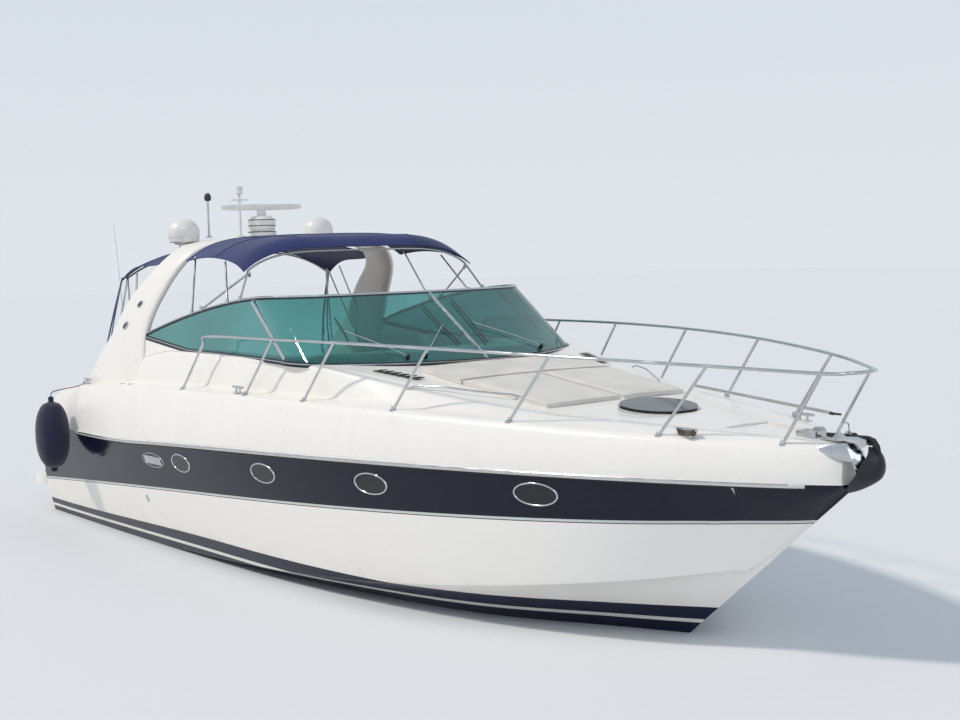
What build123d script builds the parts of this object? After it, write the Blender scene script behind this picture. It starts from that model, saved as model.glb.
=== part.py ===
from build123d import *
import math
import os

# Open motor cruiser, twelve metres, afloat.
# All sizes are millimetres. X runs forward from midships, Y to port and Z up from the waterline.

# Driving dimensions of the hull
STERN = -6000.0
BOW = 6000.0
BEAM = 4000.0
WIDEST_AT = -1250.0
STERN_TAPER = 122.0
QUARTER = -2700.0
RAIL_END = 5930.0
DECK_INSET = 73.0
DECK_BOW = 5950.0
STEM_FOOT = 4210.0
STEM_SLOPE = 0.81
STEM_HALF = 30.0
DRAFT = 720.0
FOREFOOT = 3110.0
KEEL_RISE = 80.0
CHINE_HALF = 1660.0
CHINE_BOW = 4910.0
CHINE_TOP = 690.0

TOPSIDE_BULGE = 22.0
MOULDING_BULGE = 26.0
COACHROOF_BULGE = 14.0

# Cockpit
SOLE = 1020.0
SOLE_THICK = 30.0
COCKPIT_AFT = -4850.0
COCKPIT_FORE = 300.0
COCKPIT_HALF = 1400.0
COAMING_TOP = 2270.0
SCREEN_FOOT = 1500.0

# Top moulding of the foredeck
CROWN_BOW = 1720.0
CROWN_RISE = 460.0

# Running gear below the waterline
GEAR_Y = 560.0
SHAFT_DIAMETER = 45.0
SHAFT_ANGLE = 8.0
PROP_X = -4950.0
PROP_Z = -840.0
PROP_RADIUS = 250.0
RUDDER_X = -5500.0

# Stainless tube sizes
RAIL_TUBE = 28.0
CANOPY_TUBE = 25.0


def fullness(x, start, end, power, blunt):
    """Share of the full half-breadth left at x on a plan curve that closes at its bow end."""
    if x <= start:
        return 1.0
    t = min((x - start) / (end - start), 1.0)
    return (1.0 - t ** power) ** blunt


def stern_pull(x):
    return STERN_TAPER * (max(WIDEST_AT - x, 0.0) / (WIDEST_AT - STERN)) ** 2


def along(x):
    return (x - STERN) / (BOW - STERN)


def rail_half(x):
    return BEAM / 2 * fullness(x, WIDEST_AT, BOW, 2.34, 0.844) - stern_pull(x)


def rail_height(x):
    """Height of the rub rail: a long curve that levels out towards the quarter."""
    t = along(x)
    level = 84 * (max(QUARTER - x, 0.0) / 1700) ** 1.5
    return 977 + 473 * t + 614 * t * (1 - t) + level


def deck_half(x):
    return (BEAM / 2 - DECK_INSET) * fullness(x, WIDEST_AT, DECK_BOW, 2.34, 0.844) - stern_pull(x)


def deck_height(x):
    t = along(x)
    return 1639 + 66 * t + 904 * t * (1 - t)


def keel_height(x):
    if x >= STEM_FOOT:
        return STEM_SLOPE * (x - STEM_FOOT)
    u = min((STEM_FOOT - x) / FOREFOOT, 1.0)
    rise = KEEL_RISE * max(STEM_FOOT - FOREFOOT - x, 0.0) / (STEM_FOOT - FOREFOOT - STERN)
    return rise - DRAFT * (1 - (1 - u) ** 3.5)


def chine_half(x):
    return max(CHINE_HALF * fullness(x, WIDEST_AT, CHINE_BOW, 2.6, 0.6), STEM_HALF)


def chine_height(x):
    s = min((x - STERN) / (CHINE_BOW - STERN), 1.0)
    return max(CHINE_TOP * s ** 2.6 - 20, keel_height(x) + STEM_HALF)


def crown_height(x):
    """Centreline height of the foredeck, and of the cabin top under the windscreen."""
    c = max((x - SCREEN_FOOT) / (DECK_BOW - SCREEN_FOOT), 0.0)
    return CROWN_BOW + CROWN_RISE * (1 - min(c, 1.0)) ** 1.4


def shoulder(x):
    """Half-breadth and height of the coaming top, which becomes the coachroof shoulder forward."""
    half = deck_half(x) * (0.835 - 0.36 * max(x - 1000, 0.0) / 4930)
    if x < -2200:
        height = COAMING_TOP - 480 * ((-2200 - x) / 2400) ** 1.3
    elif x < 900:
        height = COAMING_TOP
    else:
        height = crown_height(x) - 30 + 90 * max(1 - (x - 900) / 700, 0.0)
    return half, max(height, deck_height(x) + 40)


def bulge(a, b, depth):
    """Point beside the middle of chord ab, out from the centreline by depth."""
    dy, dz = b[0] - a[0], b[1] - a[1]
    length = math.hypot(dy, dz)
    depth = min(depth, 0.12 * length)
    return ((a[0] + b[0]) / 2 + depth * dz / length, (a[1] + b[1]) / 2 - depth * dy / length)


def section_points(x):
    keel = (0.0, keel_height(x))
    chine = (chine_half(x), chine_height(x))
    rail = (rail_half(x), rail_height(x))
    deck = (max(deck_half(x), STEM_HALF), deck_height(x))
    side = (deck[0] * 0.89, deck[1] + 18)
    top = shoulder(x)
    crown = (0.0, max(crown_height(x), top[1] + 12))
    return keel, chine, rail, deck, side, top, crown


def chain(points, s):
    """Edges along half of a section; each row is a point and the bulge of the edge that leads to it."""
    edges = []
    for (start, _), (end, depth) in zip(points, points[1:]):
        a, b = (start[0], s * start[1], start[2]), (end[0], s * end[1], end[2])
        if depth is None:
            edges.append(Line(a, b))
        else:
            y, z = bulge(start[1:], end[1:], depth)
            edges.append(ThreePointArc(a, (start[0], s * y, z), b))
    return edges


def hull_section(x):
    keel, chine, rail = section_points(x)[:3]
    hollow = 8 + 100 * math.exp(-(((x - 3700) / 900) ** 2))
    half = [((x, 0.0, keel[1]), None), ((x, *chine), -hollow), ((x, *rail), TOPSIDE_BULGE)]
    across = Line((x, *rail), (x, -rail[0], rail[1]))
    return Face(Wire(chain(half, 1) + chain(half, -1) + [across]))


def deck_section(x):
    rail, deck, side, top, crown = section_points(x)[2:]
    half = [((x, *rail), None), ((x, *deck), MOULDING_BULGE), ((x, *side), None),
            ((x, *top), COACHROOF_BULGE)]
    across = Line((x, *rail), (x, -rail[0], rail[1]))
    over = ThreePointArc((x, *top), (x, 0, crown[1]), (x, -top[0], top[1]))
    return Face(Wire(chain(half, 1) + chain(half, -1) + [across, over]))


# Sections stand closer together where the plan curve turns in towards the bow
STATIONS = [-6000, -4300, -2700, -1250, 100, 1100, 1950, 2700]
STATIONS += [3350, 3950, 4450, 4900, 5250, 5550, 5780, RAIL_END]
hull_body = loft([hull_section(x) for x in STATIONS], ruled=True)
deck_body = loft([deck_section(x) for x in STATIONS], ruled=True)


def side_profile(points, half=2600.0):
    """Solid across the boat whose side view is the closed chain of lines and arcs in points."""
    edges = []
    for kind, *pts in points:
        pts = [(p[0], 0, p[1]) for p in pts]
        edges.append(Line(*pts) if kind == "line" else ThreePointArc(*pts))
    face = Face(Wire(edges))
    return extrude(face, half, dir=(0, 1, 0), both=True)


def box(x0, x1, y0, y1, z0, z1):
    return Pos((x0 + x1) / 2, (y0 + y1) / 2, (z0 + z1) / 2) * Box(x1 - x0, abs(y1 - y0), z1 - z0)


def rounded(x0, x1, y0, y1, z0, z1, radius, axis=Axis.Z):
    block = box(x0, x1, y0, y1, z0, z1)
    return fillet(block.edges().filter_by(axis), radius)


def rod(a, b, diameter):
    """Round bar from a to b."""
    a, b = Vector(*a), Vector(*b)
    way = b - a
    return Plane(origin=a, z_dir=way) * Cylinder(
        diameter / 2, way.length, align=(Align.CENTER, Align.CENTER, Align.MIN)
    )


def mirrored(shape):
    return mirror(shape, about=Plane.XZ)


def both(shape):
    return [shape, mirrored(shape)]


def fuse(parts):
    total = parts[0]
    for part in parts[1:]:
        total = total + part
    return total


# Raked transom: everything aft of this curve is cut away above the platform
PLATFORM_Z = 460.0
transom_cut = side_profile([
    ("line", (-4560, 2600), (-4560, 1760)),
    ("arc", (-4560, 1760), (-5420, 1400), (-5985, PLATFORM_Z)),
    ("line", (-5985, PLATFORM_Z), (-6600, PLATFORM_Z)),
    ("line", (-6600, PLATFORM_Z), (-6600, 2600)),
    ("line", (-6600, 2600), (-4560, 2600)),
])

# Cockpit well with the steps down through the transom on the port side
cockpit = rounded(COCKPIT_AFT, COCKPIT_FORE, -COCKPIT_HALF, COCKPIT_HALF, SOLE, 2900, 180)
GATE_Y = (700.0, 1260.0)
gateway = box(-5400, COCKPIT_AFT + 200, GATE_Y[0], GATE_Y[1], SOLE, 2900)
gateway += box(-6200, -5390, GATE_Y[0], GATE_Y[1], 740, 2900)

# Companionway niche with its steps, behind the sliding door
NICHE_Y = (30.0, 640.0)
niche = box(COCKPIT_FORE - 10, 1250, NICHE_Y[0], NICHE_Y[1], 500, 1900)
for riser, (step_x, step_z) in enumerate([(540, 800), (780, 640)]):
    niche -= box(COCKPIT_FORE - 10, step_x, NICHE_Y[0], NICHE_Y[1], 500, step_z)

# Engine bay under the cockpit sole
BAY = (-4450.0, -2350.0, 950.0)
engine_bay = rounded(BAY[0], BAY[1], -BAY[2], BAY[2], -260, SOLE + 10, 80)

hull = hull_body - transom_cut - cockpit - gateway - niche - engine_bay
deck = deck_body - transom_cut - cockpit - gateway - niche

# Ports, vents and trim that follow the topside
def side_at(x, z):
    """Half-breadth of the topside at x and height z."""
    chine = (chine_half(x), chine_height(x))
    rail = (rail_half(x), rail_height(x))
    s = (z - chine[1]) / (rail[1] - chine[1])
    return chine[0] + s * (rail[0] - chine[0]) + 4 * TOPSIDE_BULGE * s * (1 - s)


def side_plane(x, z, proud=0.0):
    """Plane lying on the topside at x, z. Its x runs forward or aft along the boat."""
    here = Vector(x, -side_at(x, z), z)
    fore = Vector(x + 20, -side_at(x + 20, z), z) - here
    up = Vector(x, -side_at(x, z + 20), z + 20) - here
    normal = fore.cross(up).normalized()
    plane = Plane(origin=here + normal * proud, x_dir=fore, z_dir=normal)
    return plane


# Ports in the dark band: place along the hull and height of the middle
PORTS = [(-1423, 1096), (326, 1166), (1967, 1220), (3727, 1272)]
PORT_HALF = (215.0, 106.0)
PORT_RIM = 20.0
PORT_DEPTH = 26.0
rims, panes = [], []
for x, z in PORTS:
    a, b = PORT_HALF
    plane = side_plane(x, z)
    rim = plane * extrude(Ellipse(a, b) - Ellipse(a - PORT_RIM, b - PORT_RIM), PORT_DEPTH / 2, both=True)
    pane = plane * extrude(Ellipse(a - PORT_RIM, b - PORT_RIM), 5, both=True)
    well = plane * extrude(Ellipse(a, b), PORT_DEPTH / 2, both=True)
    rims += both(rim)
    panes += both(pane)
    for cut in both(well):
        hull -= cut

# Rub rail along the joint of hull and upper moulding, from the quarter to the stem plate
RUB_AFT = -4430.0
RUB_FORE = 5715.0
rub_sections = []
for x in [RUB_AFT] + STATIONS[2:-2] + [RUB_FORE]:
    y, z = rail_half(x), rail_height(x)
    profile = [(40, -26), (-10, -26), (-24, -6), (-24, 8), (40, 22)]
    rub_sections.append(Face(Wire.make_polygon([(x, -y + out, z + rise) for out, rise in profile])))
rub = loft(rub_sections, ruled=True) - hull_body - deck_body
rub_rail = both(rub)

swim_platform = rounded(-6520, -5990, -1790, 1790, 340, PLATFORM_Z, 240)
swim_platform = swim_platform - hull_body

SOLE_HALF = COCKPIT_HALF - 4
cockpit_sole = rounded(-4830, COCKPIT_FORE - 5, -SOLE_HALF, SOLE_HALF, SOLE, SOLE + SOLE_THICK, 170)
ENGINE_HATCH = (-4100.0, -2700.0, -150.0, 700.0)
cockpit_sole -= box(ENGINE_HATCH[0] - 6, ENGINE_HATCH[1] + 6, ENGINE_HATCH[2] - 6, ENGINE_HATCH[3] + 6, 0, 2000)
engine_hatch = box(*ENGINE_HATCH, SOLE, SOLE + SOLE_THICK)

ENGINE = (1150.0, 640.0, 700.0)
engines = {}
for name, side in (("engine_port", 1), ("engine_starboard", -1)):
    engines[name] = rounded(-3950, -3950 + ENGINE[0], side * 500 - ENGINE[1] / 2, side * 500 + ENGINE[1] / 2,
                            -260, -260 + ENGINE[2], 40)

# Windscreen: walls between a foot outline and a smaller top outline, cut to the side view
def screen_outline(z, grow):
    """Closed outline of the screen at height z: straight sides, round corners and a bowed front."""
    u = (z - 2180) / 690
    half = 1650 - 110 * u + grow
    corner = 860 - 830 * u + grow
    front = 1490 - 1060 * u + grow
    turn = half * 0.8
    tail = -3000
    edges = [Line((tail, half, z), (tail, -half, z))]
    for s in (1, -1):
        edges += [
            Line((tail, s * half, z), (corner - 500, s * half, z)),
            ThreePointArc(
                (corner - 500, s * half, z), (corner - 60, s * half * 0.965, z), (corner + 190, s * turn, z)
            ),
        ]
    edges.append(ThreePointArc((corner + 190, -turn, z), (front, 0, z), (corner + 190, turn, z)))
    return Face(Wire(edges))


def screen_wall(outside, inside):
    outer = loft([screen_outline(z, outside) for z in (2080, 2980)])
    inner = loft([screen_outline(z, inside) for z in (2060, 3000)])
    return outer - inner


SCREEN_TIP = -2930.0


def screen_foot(x):
    """Height of the lower edge of the screen in side view."""
    if x < -1780:
        return 2262 + 113 * (-1780 - x) / 1150
    return 2262 - 20 * (x + 1780) / 1580 if x < -200 else 2242 - 52 * (x + 200) / 1900


def screen_head(x):
    """Height of the upper edge, level forward and falling to the tip at the arch."""
    return 2850 - 440 * (max(-100 - x, 0) / 2830) ** 1.62


def screen_band(low, high, tip=SCREEN_TIP):
    """Side view of the screen between its edges, moved by low and high."""
    foot = [(x, screen_foot(x) + low) for x in (tip, -1780, -200, 1700)]
    head = [(x, screen_head(x) + high) for x in (-100, -1300, tip)]
    return side_profile(
        [("line", a, b) for a, b in zip(foot, foot[1:])]
        + [("line", foot[-1], (1700, head[0][1])), ("line", (1700, head[0][1]), head[0]), ("arc", *head),
           ("line", head[-1], foot[0])]
    )


screen_glass = screen_wall(0, -8) & screen_band(0, -14)
screen_frame = (screen_wall(8, -16) & screen_band(-30, 10)) - screen_band(16, -24, SCREEN_TIP + 130)
mullion_wall = screen_wall(8, -16) & screen_band(0, 0)
side_bar = side_profile([
    ("line", (540, 2200), (580, 2200)),
    ("line", (580, 2200), (-70, 2860)),
    ("line", (-70, 2860), (-110, 2860)),
    ("line", (-110, 2860), (540, 2200)),
])
centre_bar = box(-300, 1800, -14, 14, 2180, 2860)
screen_frame += mullion_wall & centre_bar
screen_frame += mullion_wall & side_bar
screen_frame = screen_frame - deck - screen_glass
screen_glass = screen_glass - deck

# Arch: raked legs that sweep inboard into a top beam, with a wing that carries the aerials
LEG_SECTIONS = [
    # height, aft edge, front edge, half-breadth of the middle, thickness
    (1800, -4600, -2960, 1650, 130),
    (2400, -3860, -2960, 1605, 130),
    (2900, -3360, -2580, 1515, 120),
    (3200, -2900, -2340, 1370, 110),
    (3400, -2850, -2290, 1120, 110),
]


def leg_face(z, aft, fore, y, thick):
    nose = thick / 2
    return Face(Wire([
        Line((aft + nose, -y - nose, z), (fore - nose, -y - nose, z)),
        ThreePointArc((fore - nose, -y - nose, z), (fore, -y, z), (fore - nose, -y + nose, z)),
        Line((fore - nose, -y + nose, z), (aft + nose, -y + nose, z)),
        ThreePointArc((aft + nose, -y + nose, z), (aft, -y, z), (aft + nose, -y - nose, z)),
    ]))


leg = loft([leg_face(*row) for row in LEG_SECTIONS])
beam = rounded(-2840, -2300, -1150, 1150, 3340, 3450, 50, Axis.Y)
wing = rounded(-3720, -2350, -1150, 1150, 3440, 3500, 200)
radar_arch = fuse([beam, leg, mirrored(leg), wing])
radar_arch = radar_arch - deck - screen_wall(8, -16)

DOME = (-3310.0, 920.0, 3500.0, 188.0)
DOME_SKIRT = 40.0


def dome(side):
    x, y, z, r = DOME
    c = math.sqrt(0.5)
    profile = Wire([
        Line((0, 0, 0), (r * 0.7, 0, 0)),
        Line((r * 0.7, 0, 0), (r * 0.97, 0, 12)),
        Line((r * 0.97, 0, 12), (r, 0, DOME_SKIRT)),
        ThreePointArc((r, 0, DOME_SKIRT), (r * c, 0, DOME_SKIRT + r * c), (0, 0, DOME_SKIRT + r)),
        Line((0, 0, DOME_SKIRT + r), (0, 0, 0)),
    ])
    return Pos(x, side * y, z) * revolve(Face(profile), Axis.Z)


RADAR = (-3070.0, 0.0, 3500.0)
pedestal_profile = Face(Wire.make_polygon([
    (0, 0, 0), (170, 0, 0), (170, 0, 45), (150, 0, 60), (165, 0, 120), (165, 0, 190), (120, 0, 235),
    (55, 0, 250), (55, 0, 300), (0, 0, 300),
]))
radar_pedestal = Pos(*RADAR) * revolve(pedestal_profile, Axis.Z)
radar_scanner = Pos(RADAR[0], 0, RADAR[2] + 306) * (
    Rot(0, 0, -10) * Pos(0, 0, 45) * fillet(Box(110, 1000, 62).edges().filter_by(Axis.Y), 24)
    + Pos(0, 0, 8) * Cylinder(60, 16)
)

MAST_X = -3630.0
light_mast = rod((MAST_X, 0, 3500), (MAST_X, 0, 4040), 32)
light_mast += Pos(MAST_X, 0, 4080) * Cylinder(42, 90)
light_mast += Pos(MAST_X, 0, 3508) * Cylinder(60, 16)
light_mast += rod((MAST_X, -120, 3960), (MAST_X, 120, 3960), 16)

aerial_pole = rod((-3450, -520, 3500), (-3450, -520, 3960), 26)
aerial_pole += Pos(-3450, -520, 3990) * Cylinder(40, 90)
aerial_pole += Pos(-3450, -520, 3506) * Cylinder(48, 12)

# Canopies: thin curved cloths over tube bows
CLOTH = 14.0


def cloth_face(x, half, edge, crown):
    rim, low = half - CLOTH, edge - CLOTH
    return Face(Wire([
        ThreePointArc((x, -half, edge), (x, 0, crown), (x, half, edge)),
        Line((x, half, edge), (x, rim, low)),
        ThreePointArc((x, rim, low), (x, 0, crown - CLOTH), (x, -rim, low)),
        Line((x, -rim, low), (x, -half, edge)),
    ]))


FRONT_CLOTH = [(-2150, 1400, 3310, 3460), (-1500, 1445, 3240, 3480), (-780, 1450, 3070, 3335)]
AFT_CLOTH = [(-3960, 1410, 3040, 3250), (-3400, 1430, 3180, 3350), (-2860, 1400, 3290, 3400)]
canopy_front = loft([cloth_face(*row) for row in FRONT_CLOTH])
canopy_aft = loft([cloth_face(*row) for row in AFT_CLOTH])


def bow_tube(x, half, edge, crown, foot):
    """Half hoop under a canopy with its legs down to the feet at foot."""
    drop = CLOTH + CANOPY_TUBE / 2 + 10
    y = half - 60
    arc = ThreePointArc((x, -y, edge - drop + 20), (x, 0, crown - drop), (x, y, edge - drop + 20))
    start = Plane(origin=arc @ 0, z_dir=arc % 0)
    hoop = sweep(start * Circle(CANOPY_TUBE / 2), path=arc)
    legs = [rod((x, s * y, edge - drop + 20), (foot[0], s * foot[1], foot[2]), CANOPY_TUBE) for s in (1, -1)]
    balls = [Pos(x, s * y, edge - drop + 20) * Sphere(CANOPY_TUBE / 2 + 1) for s in (1, -1)]
    return fuse([hoop] + legs + balls)


canopy_frame = [
    bow_tube(-800, 1450, 3070, 3330, (-620, 1556, 2858)),
    bow_tube(-3930, 1410, 3045, 3255, (-4150, 1560, 1880)),
]
canopy_frame = [c - deck for c in canopy_frame]

# Bow rail: top tube round the bow on leaning stanchions
STANCHIONS = [-1450, -70, 950, 2190, 3440, 4700, 5540]
RAIL_RISE = 560.0
RAIL_LEAN = 470.0


def rail_foot(x):
    return (x, -(deck_half(x) - 45), deck_height(x) + 4)


def rail_top(x):
    """Top of the stanchion whose foot is at x."""
    inset = 110 if x < 5000 else 60
    y = max(deck_half(x) - inset, 240 if x > 5000 else 0)
    return (x + RAIL_LEAN * (1.0 if x < 5000 else 0.8), -y, deck_height(x) + RAIL_RISE)


rail_parts = []
top_points = [rail_foot(STANCHIONS[0])] + [rail_top(x) for x in STANCHIONS]
for a, b in zip(top_points, top_points[1:]):
    rail_parts.append(rod(a, b, RAIL_TUBE))
for x in STANCHIONS:
    rail_parts.append(Pos(*rail_top(x)) * Sphere(RAIL_TUBE / 2 + 0.6))
for x in STANCHIONS[1:]:
    rail_parts.append(rod(rail_foot(x), rail_top(x), RAIL_TUBE - 3))
for x in STANCHIONS:
    rail_parts.append(Pos(*rail_foot(x)) * Cylinder(34, 14))
side_rail = fuse(rail_parts)
nose = ThreePointArc(top_points[-1], (6090, 0, top_points[-1][2] + 4),
                     (top_points[-1][0], -top_points[-1][1], top_points[-1][2]))
nose_tube = sweep(Plane(origin=nose @ 0, z_dir=nose % 0) * Circle(RAIL_TUBE / 2), path=nose)
bow_rail = fuse([side_rail, nose_tube, mirrored(side_rail)]) - deck

# Sunpad on the foredeck: head wedge and two flat pads
def deck_block(outline, low, high):
    """Solid over an outline on the foredeck, whose faces lie low and high above the crown line."""
    xs = [p[0] for p in outline]
    x0, x1 = min(xs), max(xs)
    slab = side_profile([
        ("line", (x0 - 5, crown_height(x0) + low), (x1 + 5, crown_height(x1) + low)),
        ("line", (x1 + 5, crown_height(x1) + low), (x1 + 5, crown_height(x1) + high)),
        ("line", (x1 + 5, crown_height(x1) + high), (x0 - 5, crown_height(x0) + high)),
        ("line", (x0 - 5, crown_height(x0) + high), (x0 - 5, crown_height(x0) + low)),
    ])
    plan = extrude(Face(Wire.make_polygon([(x, y, 1500) for x, y in outline])), 1200, dir=(0, 0, 1))
    return slab & plan


PAD_TOP = 48.0
pad_starboard = deck_block([(2260, -20), (2260, -880), (3360, -800), (3420, -20)], 0, PAD_TOP)
pad_port = mirrored(pad_starboard)
pad_head = deck_block([(1640, -900), (2240, -890), (2240, 890), (1640, 900)], 0, PAD_TOP + 20)
pads = {"sunpad_starboard": pad_starboard, "sunpad_port": pad_port, "sunpad_head": pad_head}
for key in pads:
    pads[key] = pads[key] - deck

# Elliptical deck hatch and its frame
DECK_HATCH = (3880.0, 300.0, 345.0)
HATCH_LIP = 25.0
hatch_z = crown_height(DECK_HATCH[0])
hatch_slope = crown_height(DECK_HATCH[0] + 300) - crown_height(DECK_HATCH[0] - 300)
hatch_plane = Plane(
    origin=(DECK_HATCH[0], 0, hatch_z + 2), x_dir=(600, 0, hatch_slope), z_dir=(-hatch_slope, 0, 600)
)


def hatch_oval(grow):
    return Ellipse(DECK_HATCH[1] + grow, DECK_HATCH[2] + grow)


recess = hatch_plane * extrude(hatch_oval(HATCH_LIP + 1), 60, both=True)
deck -= recess & box(3000, 5000, -600, 600, hatch_z - 40, hatch_z + 200)
hatch_frame = hatch_plane * (Pos(0, 0, -10) * extrude(hatch_oval(HATCH_LIP) - hatch_oval(-8), 24)) - deck
foredeck_hatch = hatch_plane * (Pos(0, 0, 20) * extrude(hatch_oval(8), 14))

# Anchor locker lid, windlass and stemhead
LOCKER = (4900.0, 5380.0, 150.0)


def locker_block(grow, low, high):
    """Tapered block over the locker's opening, wider by grow on every side."""
    aft, fore, half = LOCKER[0] - grow, LOCKER[1] + grow, LOCKER[2] + grow
    return deck_block([(aft, -half - 90), (fore, -half), (fore, half), (aft, half + 90)], low, high)


anchor_locker_lid = locker_block(0, -6, 26)
deck -= locker_block(8, -12, 200)
windlass = Pos(5560, 0, crown_height(5560)) * (
    Pos(0, 0, 45) * fillet(Box(200, 150, 90).edges().filter_by(Axis.Z), 30)
    + Pos(0, 95, 60) * Rot(90, 0, 0) * Cylinder(50, 60)
) - deck

PLATE = 7.0
PLATE_GAP = 2.0
PLATE_TOP = 1680.0


def plate_section(x):
    """Thin section of the stem plate at x, parallel to the topside and the upper moulding."""
    chine, rail, deck_edge = section_points(x)[1:4]
    edges = []
    for gap in (PLATE_GAP, PLATE_GAP + PLATE):
        rows = [(chine, None), (rail, TOPSIDE_BULGE), (deck_edge, MOULDING_BULGE)]
        edges += chain([((x, y + gap, z), depth) for (y, z), depth in rows], -1)
    for y, z in (chine, deck_edge):
        edges.append(Line((x, -y - PLATE_GAP, z), (x, -y - PLATE_GAP - PLATE, z)))
    return Face(Wire(edges))


cheek = loft([plate_section(x) for x in (5550, 5780, RAIL_END)], ruled=True)
cheek = cheek & side_profile([
    ("line", (5560, 1080), (5950, 1330)),
    ("line", (5950, 1330), (5950, PLATE_TOP)),
    ("line", (5950, PLATE_TOP), (5660, PLATE_TOP)),
    ("arc", (5660, PLATE_TOP), (5740, 1480), (5560, 1080)),
])
FRONT_OUTLINE = [(-46, 1425), (46, 1425), (90, 1448), (42, PLATE_TOP), (-42, PLATE_TOP), (-90, 1448)]
plate_front = extrude(
    Face(Wire.make_polygon([(RAIL_END + 1, y, z) for y, z in FRONT_OUTLINE])), PLATE, dir=(1, 0, 0)
)
stem_plate = [cheek, mirrored(cheek), plate_front]
ROLLER_Z = 1778.0
bow_roller = box(5760, 6140, -76, 76, ROLLER_Z, ROLLER_Z + 10)
for y in (-71, 71):
    bow_roller += box(5760, 6210, y - 5, y + 5, ROLLER_Z, ROLLER_Z + 96)
bow_roller += rod((6175, -76, ROLLER_Z + 44), (6175, 76, ROLLER_Z + 44), 50)
bow_roller = bow_roller - deck_body
SHANK_Z = ROLLER_Z + 76
ANCHOR_SIDE = [
    (5800, SHANK_Z), (5800, SHANK_Z + 24), (6200, SHANK_Z + 24), (6268, 1812), (6292, 1700), (6294, 1560),
    (6270, 1450), (6150, 1500), (6215, 1620), (6225, 1740), (6210, 1800), (6212, SHANK_Z - 10), (6150, SHANK_Z),
]
FLUKE = [(0, -130), (0, 130), (240, 16), (240, -16)]
ANCHOR_HALF = 22.0
anchor_arm = Face(Wire.make_polygon([(x, -ANCHOR_HALF, z) for x, z in ANCHOR_SIDE]))
anchor = extrude(anchor_arm, 2 * ANCHOR_HALF, dir=(0, 1, 0))
fluke_plane = Plane(origin=(6282, 0, 1454), x_dir=(-230, 0, -70), z_dir=(-70, 0, 230))
anchor += extrude(fluke_plane * Face(Wire.make_polygon([(x, y, 0) for x, y in FLUKE])), 16)

CLEATS = [(4900, 0.93), (-250, 0.965), (-4350, 0.95)]


def cleat(x, share):
    y, z = deck_half(x) * share, deck_height(x) + 10
    body = rod((x - 110, -y, z + 58), (x + 110, -y, z + 58), 24)
    for dx in (-40, 40):
        body += rod((x + dx, -y, z), (x + dx, -y, z + 58), 24)
    body += box(x - 75, x + 75, -y - 26, -y + 26, z, z + 10)
    return body


cleats = [c for x, share in CLEATS for c in both(cleat(x, share) - deck)]

# Helm, wheel and cockpit furniture, forward on the starboard side and aft
helm_console = side_profile([
    ("line", (COCKPIT_FORE, SOLE + SOLE_THICK), (COCKPIT_FORE, 2140)),
    ("line", (COCKPIT_FORE, 2140), (150, 2180)),
    ("line", (150, 2180), (-260, 1960)),
    ("line", (-260, 1960), (-330, 1860)),
    ("line", (-330, 1860), (-180, 1800)),
    ("line", (-180, 1800), (-160, SOLE + SOLE_THICK)),
    ("line", (-160, SOLE + SOLE_THICK), (COCKPIT_FORE, SOLE + SOLE_THICK)),
]) & box(-600, COCKPIT_FORE, -1396, -60, 0, 3000)
helm_console = helm_console - hull - deck
WHEEL = (-300.0, -720.0, 1900.0)
WHEEL_TILT = 25.0
wheel_plane = Plane(origin=WHEEL, x_dir=(0, 1, 0),
                    z_dir=(-math.cos(math.radians(WHEEL_TILT)), 0, math.sin(math.radians(WHEEL_TILT))))
rim = Pos(0, 0, 95) * Torus(185, 15)
spoke = Pos(90, 0, 0) * Rot(0, 90, 0) * Cylinder(9, 185)
spokes = [Pos(0, 0, 95) * Rot(0, 0, turn) * spoke for turn in (90, 210, 330)]
helm_wheel = wheel_plane * fuse([rim, Pos(0, 0, 60) * Cylinder(38, 84)] + spokes)
helm_console -= wheel_plane * (Pos(0, 0, -20) * Cylinder(44, 70))
helm_wheel += wheel_plane * (Pos(0, 0, -10) * Cylinder(20, 100))
helm_console -= wheel_plane * (Pos(0, 0, -60) * Cylinder(24, 140))

helm_seat = rounded(-1500, -900, -1250, -250, SOLE + SOLE_THICK, 1500, 60)
helm_cushion = rounded(-1500, -880, -1240, -260, 1502, 1620, 50)
helm_back = rounded(-1560, -1440, -1240, -260, 1622, 2080, 40)
cockpit_seat = fuse([
    box(-4830, -4330, -1390, 640, SOLE + SOLE_THICK, 1420),
    box(-4331, -2750, -1390, -900, SOLE + SOLE_THICK, 1420),
])
cockpit_seat = cockpit_seat - hull - deck
seat_cushion_aft = rounded(-4780, -4320, -880, 630, 1422, 1530, 45)
seat_cushion_side = rounded(-4780, -2760, -1350, -890, 1422, 1530, 45)
table = rounded(-4180, -3300, -820, -250, 1640, 1670, 80)
table += Pos(-3740, -535, 1350) * Cylinder(40, 600)
table += Pos(-3740, -535, 1056) * Cylinder(140, 12)

companionway_door = box(COCKPIT_FORE - 30, COCKPIT_FORE - 6, NICHE_Y[0] - 30, NICHE_Y[1] + 30,
                        SOLE + SOLE_THICK + 8, 1940)
transom_gate = box(-4905, -4880, GATE_Y[0] + 12, GATE_Y[1] - 8, SOLE + 45, 1600)
gate_pin = rod((-4892, GATE_Y[0] + 14, SOLE + 60), (-4892, GATE_Y[0] + 14, 1590), 16)
transom_gate += gate_pin

# Propellers, shafts, brackets, rudders and trim tabs
cos_a, sin_a = math.cos(math.radians(SHAFT_ANGLE)), math.sin(math.radians(SHAFT_ANGLE))
SHAFT_DIR = Vector(cos_a, 0, sin_a)


def on_shaft(distance, side):
    """Point on the shaft line, distance forward of the propeller."""
    return (PROP_X + distance * cos_a, side * GEAR_Y, PROP_Z + distance * sin_a)


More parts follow.
